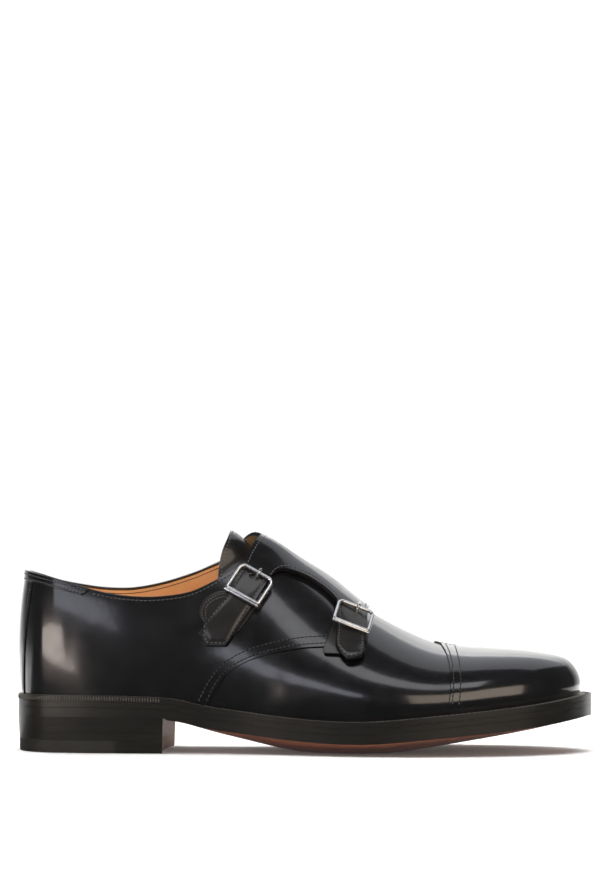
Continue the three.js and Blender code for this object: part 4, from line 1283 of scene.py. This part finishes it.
# %% rows on the straps, tongue and patch
rows = Row("strap_stitches", THREAD, size=0.31, pitch=2.1)
panel_normals = [last_normal(g[..., 0], g[..., 1]) for g in panel_parts]
bridge_points, bridge_normals = panel_points[1], panel_normals[1]
arch_points, arch_normals = inside_edge(bridge_points, bridge_normals, "low", 2.1)
rows.add(arch_points[24:90], arch_normals[24:90])
rows.add(*inside_edge(bridge_points, bridge_normals, "left", 2.2))
rows.add(*inside_edge(bridge_points, bridge_normals, "right", 2.0), start=1.0)
for points, normals in zip(panel_points[2:], panel_normals[2:]):
    for edge in ("left", "right"):
        rows.add(*inside_edge(points, normals, edge, STITCH_INSET), start=1.7, end=0.3)
    rows.add(*inside_edge(points, normals, "low", STITCH_INSET), start=1.6, end=1.6)
back_u = panel_parts[0][0, :, 0]
inner_points, inner_normals = inside_edge(panel_points[0], panel_normals[0], "low", 2.0)
edge_part = (back_u > station_at(112)) & (back_u < station_at(PANEL_BACK) - 0.002)
rows.add(inner_points[edge_part], inner_normals[edge_part])
rows.add(*inside_edge(panel_points[0], panel_normals[0], "right", 2.0), start=1.5)
rows.build()

rows = Row("tongue_stitches", THREAD, size=0.31, pitch=2.1)
tongue_normals = last_normal(tongue_grid[..., 0], tongue_grid[..., 1])
rows.add(*inside_edge(tongue_points, tongue_normals, "left", 1.5))
rows.build()

rows = Row("patch_stitches", THREAD, size=0.28, pitch=1.7)
patch_normals = last_normal(patch_pairs[..., 0], patch_pairs[..., 1])
for distance in (1.6, 3.4):
    rows.add(*inside_edge(patch_points, patch_normals, "left", distance), start=0.8, end=0.8)
rows.build()

# %% rows inside the collar
rows = Row("lining_stitches", LINING_THREAD, size=0.26, pitch=2.3)
for line_u in (np.linspace(station_at(12.0), station_at(118.0), 150),
               2 - np.linspace(station_at(12.0), station_at(118.0), 150)):
    line = np.stack([line_u, climb_below(line_u, 2.6)], -1)
    rows.add(skin(line[:, 0], line[:, 1], -WALL - 0.04), -last_normal(line[:, 0], line[:, 1]))
rows.build()

# %% [markdown]
# The welt is stitched to the sole from outside, three stitches to the centimetre, and the marks
# between the stitches are pressed by a hot fudge wheel. Round the heel the edge is only wheeled.

# %% welt stitches and wheel marks
rows = Row("welt_stitches", WELT_THREAD, size=0.34, pitch=3.0)
welt_line = inset(lambda x: 0 * x + 1.9)
welt_u = np.linspace(station_at(84.0), 2 - station_at(84.0), 900)
wx, wy, _ = station(welt_line, welt_u)
welt_points = np.stack([wx, wy, welt_top(wx) + 0.02], -1)
rows.add(welt_points, np.tile([0.0, 0.0, 1.0], (len(welt_points), 1)), lean=0.0)
rows.build()

TICK = 1.45
edge_u = np.linspace(-station_at(83.0), station_at(83.0), 2000)
ex, ey, _ = station(inset(lambda x: 0 * x - 0.02), edge_u)
edge_run = run_length(np.stack([ex, ey, 0 * ex], -1))
tick_at = np.arange(TICK, edge_run[-1] - TICK, TICK)
tx, ty = np.interp(tick_at, edge_run, ex), np.interp(tick_at, edge_run, ey)
ahead = np.stack([np.interp(tick_at + 0.3, edge_run, ex) - np.interp(tick_at - 0.3, edge_run, ex),
                  np.interp(tick_at + 0.3, edge_run, ey) - np.interp(tick_at - 0.3, edge_run, ey),
                  0 * tx], -1)
ahead /= np.linalg.norm(ahead, axis=1)[:, None]
outwards = np.stack([ahead[:, 1], -ahead[:, 0], 0 * tx], -1)
upright = np.tile([0.0, 0.0, 1.0], (len(tx), 1))
# The marks take the welt's lighter grey too, so they show as ticks of painted highlight.
rows = Row("wheel_marks", WELT_TOP_HIGHLIGHT)
rows.beads(np.stack([tx, ty, welt_top(tx) - 1.6], -1), upright, ahead, outwards, 1.25, 0.36, 0.22, 0)
rows.count = len(tx)
rows.build()

# %% [markdown]
# The buckles are bent and soldered wire, plated and polished. The frame is a rounded rectangle
# with a doubled lower bar; a centre bar below the strap carries the prong, whose tip lies over
# the upper bar. Each is swept along a path, as a wire bender would make it.

# %% buckle places
FRAME_WIDTH, FRAME_HEIGHT, WIRE = 21.4, 18.2, 2.2
FRAME_CORNER, CORNER_STEPS = 2.9, 8
FRAME_LIFT = STRAP_TOP + GAP + WIRE / 2
CENTRE_BAR_LIFT, CENTRE_BAR_RADIUS = 1.35, 0.75


def seat(x, z, slope):
    """Origin and three directions of a buckle: across, along the strap and out of the leather."""
    u = station_at(np.array([x]))
    t = solve_climb(u, lambda _: z)
    origin, normal = last_point(u, t)[0], last_normal(u, t)[0]
    across = np.array([math.cos(slope), 0.0, math.sin(slope)])
    across[1] = -(across @ normal) / normal[1]
    across /= np.linalg.norm(across)
    along = np.cross(across, normal)
    along *= -np.sign(along[2]) / np.linalg.norm(along)
    return origin, np.stack([across, along, normal])


def tube(path, radius, closed=False, sides=14, flat=1.0):
    """Vertices and faces of a bar swept along local points; open ends are rounded."""
    path = np.asarray(path, float)
    if not closed:
        first, last = path[0] - path[1], path[-1] - path[-2]
        first, last = first / np.linalg.norm(first), last / np.linalg.norm(last)
        steps = [(0.995, 0.1), (0.8, 0.6), (0.4, 0.92)]
        head = [path[0] + first * radius * a for a, _ in steps]
        tail = [path[-1] + last * radius * a for a, _ in steps[::-1]]
        scale = [b for _, b in steps] + [1.0] * len(path) + [b for _, b in steps[::-1]]
        path = np.vstack([head, path, tail])
    else:
        scale = [1.0] * len(path)
    count = len(path)
    index = np.arange(count)
    before = (index - 1) % count if closed else np.maximum(index - 1, 0)
    after = (index + 1) % count if closed else np.minimum(index + 1, count - 1)
    along = path[after] - path[before]
    along /= np.linalg.norm(along, axis=1)[:, None]
    sideways = np.cross([0.0, 0.0, 1.0], along)
    short = np.linalg.norm(sideways, axis=1) < 0.1
    sideways[short] = np.cross([0.0, 1.0, 0.0], along[short])
    sideways /= np.linalg.norm(sideways, axis=1)[:, None]
    upward = np.cross(along, sideways)
    turn = 2 * np.pi * np.arange(sides) / sides
    radius = radius * np.array(scale)[:, None, None]
    rings = (path[:, None] + sideways[:, None] * np.cos(turn)[None, :, None] * radius
             + upward[:, None] * np.sin(turn)[None, :, None] * radius * flat)
    if closed:
        rings = np.concatenate([rings, rings[:1]])
    faces = [list(f) for f in grid_faces(len(rings), sides, wrap=True)]
    if not closed:
        faces += [list(range(sides))[::-1], [(count - 1) * sides + k for k in range(sides)]]
    return rings.reshape(-1, 3), faces


def wire_piece(name, parts, place, node):
    """Joins swept bars given in a buckle's own directions and puts them on the shoe."""
    origin, directions = place
    points, faces, start = [], [], 0
    for part_points, part_faces in parts:
        points.append(part_points @ directions + origin)
        faces += [[start + v for v in face] for face in part_faces]
        start += len(part_points)
    piece = make_piece(name, np.concatenate(points), faces, [STEEL])
    merge_close(piece, 0.001)
    return finish_piece(piece, "buckle_steel", node)


def frame_path():
    """Middle line of the frame's wire: a rounded rectangle."""
    half_width, half_height = (FRAME_WIDTH - WIRE) / 2, (FRAME_HEIGHT - WIRE) / 2
    path = []
    for sx, sy, start in ((1, 1, 0), (-1, 1, 90), (-1, -1, 180), (1, -1, 270)):
        round_off = FRAME_CORNER if sy < 0 else FRAME_CORNER * 0.45
        for degrees in np.linspace(0, 90, CORNER_STEPS):
            angle = math.radians(start + degrees)
            path.append((sx * (half_width - round_off) + round_off * math.cos(angle),
                         sy * (half_height - round_off) + round_off * math.sin(angle), FRAME_LIFT))
    return path


PRONG_ACROSS = 0.9


def prong_path():
    top = -(FRAME_HEIGHT - WIRE) / 2
    corners = [(PRONG_ACROSS, -1.9, CENTRE_BAR_LIFT), (PRONG_ACROSS, top + 4.2, CENTRE_BAR_LIFT + 0.1),
               (PRONG_ACROSS, top + 3.3, STRAP_TOP - 0.8), (PRONG_ACROSS, top + 2.1, FRAME_LIFT + 1.1),
               (PRONG_ACROSS, top + 0.6, FRAME_LIFT + 2.05), (PRONG_ACROSS, top - 1.5, FRAME_LIFT + 1.75)]
    return spline(corners, 6)


# %% buckles
BUCKLES = {"back": seat(126.9, 87.0, math.radians(-28.8)),
           "front": seat(180.8, 68.6, math.radians(-20.9))}
side = (FRAME_WIDTH - WIRE) / 2
lower = (FRAME_HEIGHT - WIRE) / 2
bar_end = side + 0.2
for name, place in BUCKLES.items():
    double = [tube([(-bar_end, lower + shift, FRAME_LIFT), (bar_end, lower + shift, FRAME_LIFT)], 0.78)
              for shift in (-0.4, 1.3)]
    centre = tube([(-7.0, 0, CENTRE_BAR_LIFT), (7.0, 0, CENTRE_BAR_LIFT)], CENTRE_BAR_RADIUS)
    wire_piece(f"buckle_{name}_wire", [tube(frame_path(), 1.0, closed=True), *double, centre], place,
               f"buckle_frame_{name}")
    wire_piece(f"prong_{name}_wire", [tube(prong_path(), 0.85, flat=0.8)], place, f"prong_{name}")

# %% punched holes
HOLES = {"back": (125.6, 93.8), "front": (182.2, 76.6)}
hole_points, hole_faces, hole_kinds, start = [], [], [], 0
for name, (x, z) in HOLES.items():
    pair = find(np.array([x]), np.array([z]), panel_lift)[0]
    centre = skin(pair[0], pair[1], panel_lift(pair[0], pair[1]) + 0.52)
    _, directions = BUCKLES[name]
    turn = np.linspace(0, 2 * np.pi, 28, endpoint=False)
    ring = np.stack([1.2 * np.cos(turn), 1.2 * np.sin(turn), 0 * turn], -1)
    rim_points, rim_faces = tube(ring, 0.33, closed=True, sides=8)
    # The flat near-black disc inside the rim is painted shade for the hole, which is not cut through the
    # strap.
    painted_shade_disc = np.stack([1.1 * np.cos(turn), 1.1 * np.sin(turn), 0 * turn], -1)
    hole_points += [rim_points @ directions + centre, painted_shade_disc @ directions + centre]
    hole_faces += [[start + v for v in face] for face in rim_faces]
    start += len(rim_points)
    hole_faces.append([start + v for v in range(len(painted_shade_disc))])
    start += len(painted_shade_disc)
    hole_kinds += [0] * len(rim_faces) + [1]
hole_piece = make_piece("punched_holes", np.concatenate(hole_points), hole_faces,
                        [CAP_CALF, HOLE_SHADE], hole_kinds)
finish_piece(hole_piece, "calf_leather")

# %% [markdown]
# A black mirror-like object is lit by what it reflects. A pale floor and backdrop wrap round
# behind the shoe. Cool soft lights hang above and in front of it, a large warm one stands at the
# right and a small warm one close to the heel at the left, so the leather shows cool shapes on
# top and warm ones low on its side. The last three lights are there for the backdrop and the
# floor, and the leather does not mirror them.

# %% floor, lights and camera
FLOOR = plain_leather("pale_paper_floor", "#d6d6d5", "#dadad9", 0.9, 30, 0.0)
FLOOR_SPLIT, FLOOR_WIDE = 60.0, 4500.0


def sweep_piece(name, profile):
    points = [(x, y, z) for y, z in profile for x in (-FLOOR_WIDE, FLOOR_WIDE)]
    return make_piece(name, points, grid_faces(len(profile), 2), [FLOOR])


def sweep():
    """Floor behind the shoe that curves up into a backdrop."""
    radius, depth, height = 900.0, 2300.0, 3200.0
    profile = [(FLOOR_SPLIT, 0.0), (depth, 0.0)]
    for angle in np.linspace(0, np.pi / 2, 24)[1:]:
        profile.append((depth + radius * math.sin(angle), radius * (1 - math.cos(angle))))
    profile.append((depth + radius, height))
    return sweep_piece("floor_sweep", profile)


sweep()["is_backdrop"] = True
# The floor in front is kept out of the leather's mirror, so the shoe's side stays deep black.
floor_front = sweep_piece("floor_front", [(-2600.0, 0.0), (FLOOR_SPLIT, 0.0)])
floor_front.visible_glossy = False
floor_front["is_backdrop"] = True


def soft_light(name, place, aim, size, power, colour):
    """A rectangular soft light at a place, in millimetres, turned to its aim."""
    light = bpy.data.lights.new(name, "AREA")
    light.shape, light.size, light.size_y = "RECTANGLE", size[0] * MM, size[1] * MM
    light.energy, light.color = power, srgb(colour)[:3]
    lamp = bpy.data.objects.new(name, light)
    bpy.context.scene.collection.objects.link(lamp)
    lamp.location = to_frame(place)
    lamp.visible_camera = False
    lamp.rotation_euler = Vector(np.subtract(aim, place)).to_track_quat("-Z", "Y").to_euler()
    return lamp


SHOE_MIDDLE = (155.0, 0.0, 55.0)
soft_light("top_soft_light", (150, 800, 1500), SHOE_MIDDLE, (2600, 1500), 9.5, "#f6f8ff")
soft_light("front_soft_light", (150, -790, 1080), SHOE_MIDDLE, (1300, 360), 3.0, "#f4f5fb")
soft_light("left_soft_light", (-300, -330, 66), (-300, 0, 66), (430, 72), 0.6, "#fff0e6")
soft_light("right_soft_light", (990, -1360, 440), (155, 0, 45), (1380, 800), 7.2, "#ffedd9")
soft_light("cloud_soft_light", (-420, -1300, 420), (60, 0, 60), (540, 190), 0.8, "#eef1ff")
backdrop_light = soft_light("backdrop_light", (150, 1500, 2600), (155, 3200, 700), (3500, 900),
                            122, "#ffffff")
backdrop_light.visible_glossy = False
floor_light = soft_light("floor_light", (150, 300, 1700), (150, 200, 0), (2200, 1500), 8.2, "#ffffff")
floor_light.visible_glossy = False
floor_light.data.spread = math.radians(60)
fill_light = soft_light("fill_light", (150, 200, 1700), (150, 200, 0), (2400, 1900), 11.5, "#ffffff")
fill_light.visible_glossy = False
fill_light.data.spread = math.radians(60)
fill_light.data.use_shadow = False

world = bpy.data.worlds.new("studio_air")
world.use_nodes = True
world.node_tree.nodes["Background"].inputs["Color"].default_value = srgb("#e9ebee")
world.node_tree.nodes["Background"].inputs["Strength"].default_value = 0.1
bpy.context.scene.world = world

# The camera stands low and a little towards the toe, far enough back to flatten the shape.
ELEVATION = math.radians(2.0)
FRAME_HEIGHT_MM, AIM_HEIGHT = 458.0, 168.0
SENSOR = 36.0
camera_data = bpy.data.cameras.new("camera")
camera_data.sensor_width = SENSOR
camera_data.lens = SENSOR * CAMERA_DISTANCE / FRAME_HEIGHT_MM
camera = bpy.data.objects.new("camera", camera_data)
bpy.context.scene.collection.objects.link(camera)
away = np.array([math.sin(CAMERA_TURN) * math.cos(ELEVATION), -math.cos(CAMERA_TURN) * math.cos(ELEVATION),
                 math.sin(ELEVATION)])
eye = VIEW_MIDDLE + CAMERA_DISTANCE * away
aim = np.array([VIEW_MIDDLE[0], VIEW_MIDDLE[1], AIM_HEIGHT])
camera.location = to_frame(eye)
camera.rotation_euler = Vector(aim - eye).to_track_quat("-Z", "Y").to_euler()
bpy.context.scene.camera = camera
bpy.context.scene.view_settings.view_transform = "Standard"

# %% visual box
low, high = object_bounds()
print("visual box, mm:", [round(1000 * v, 1) for v in high - low])
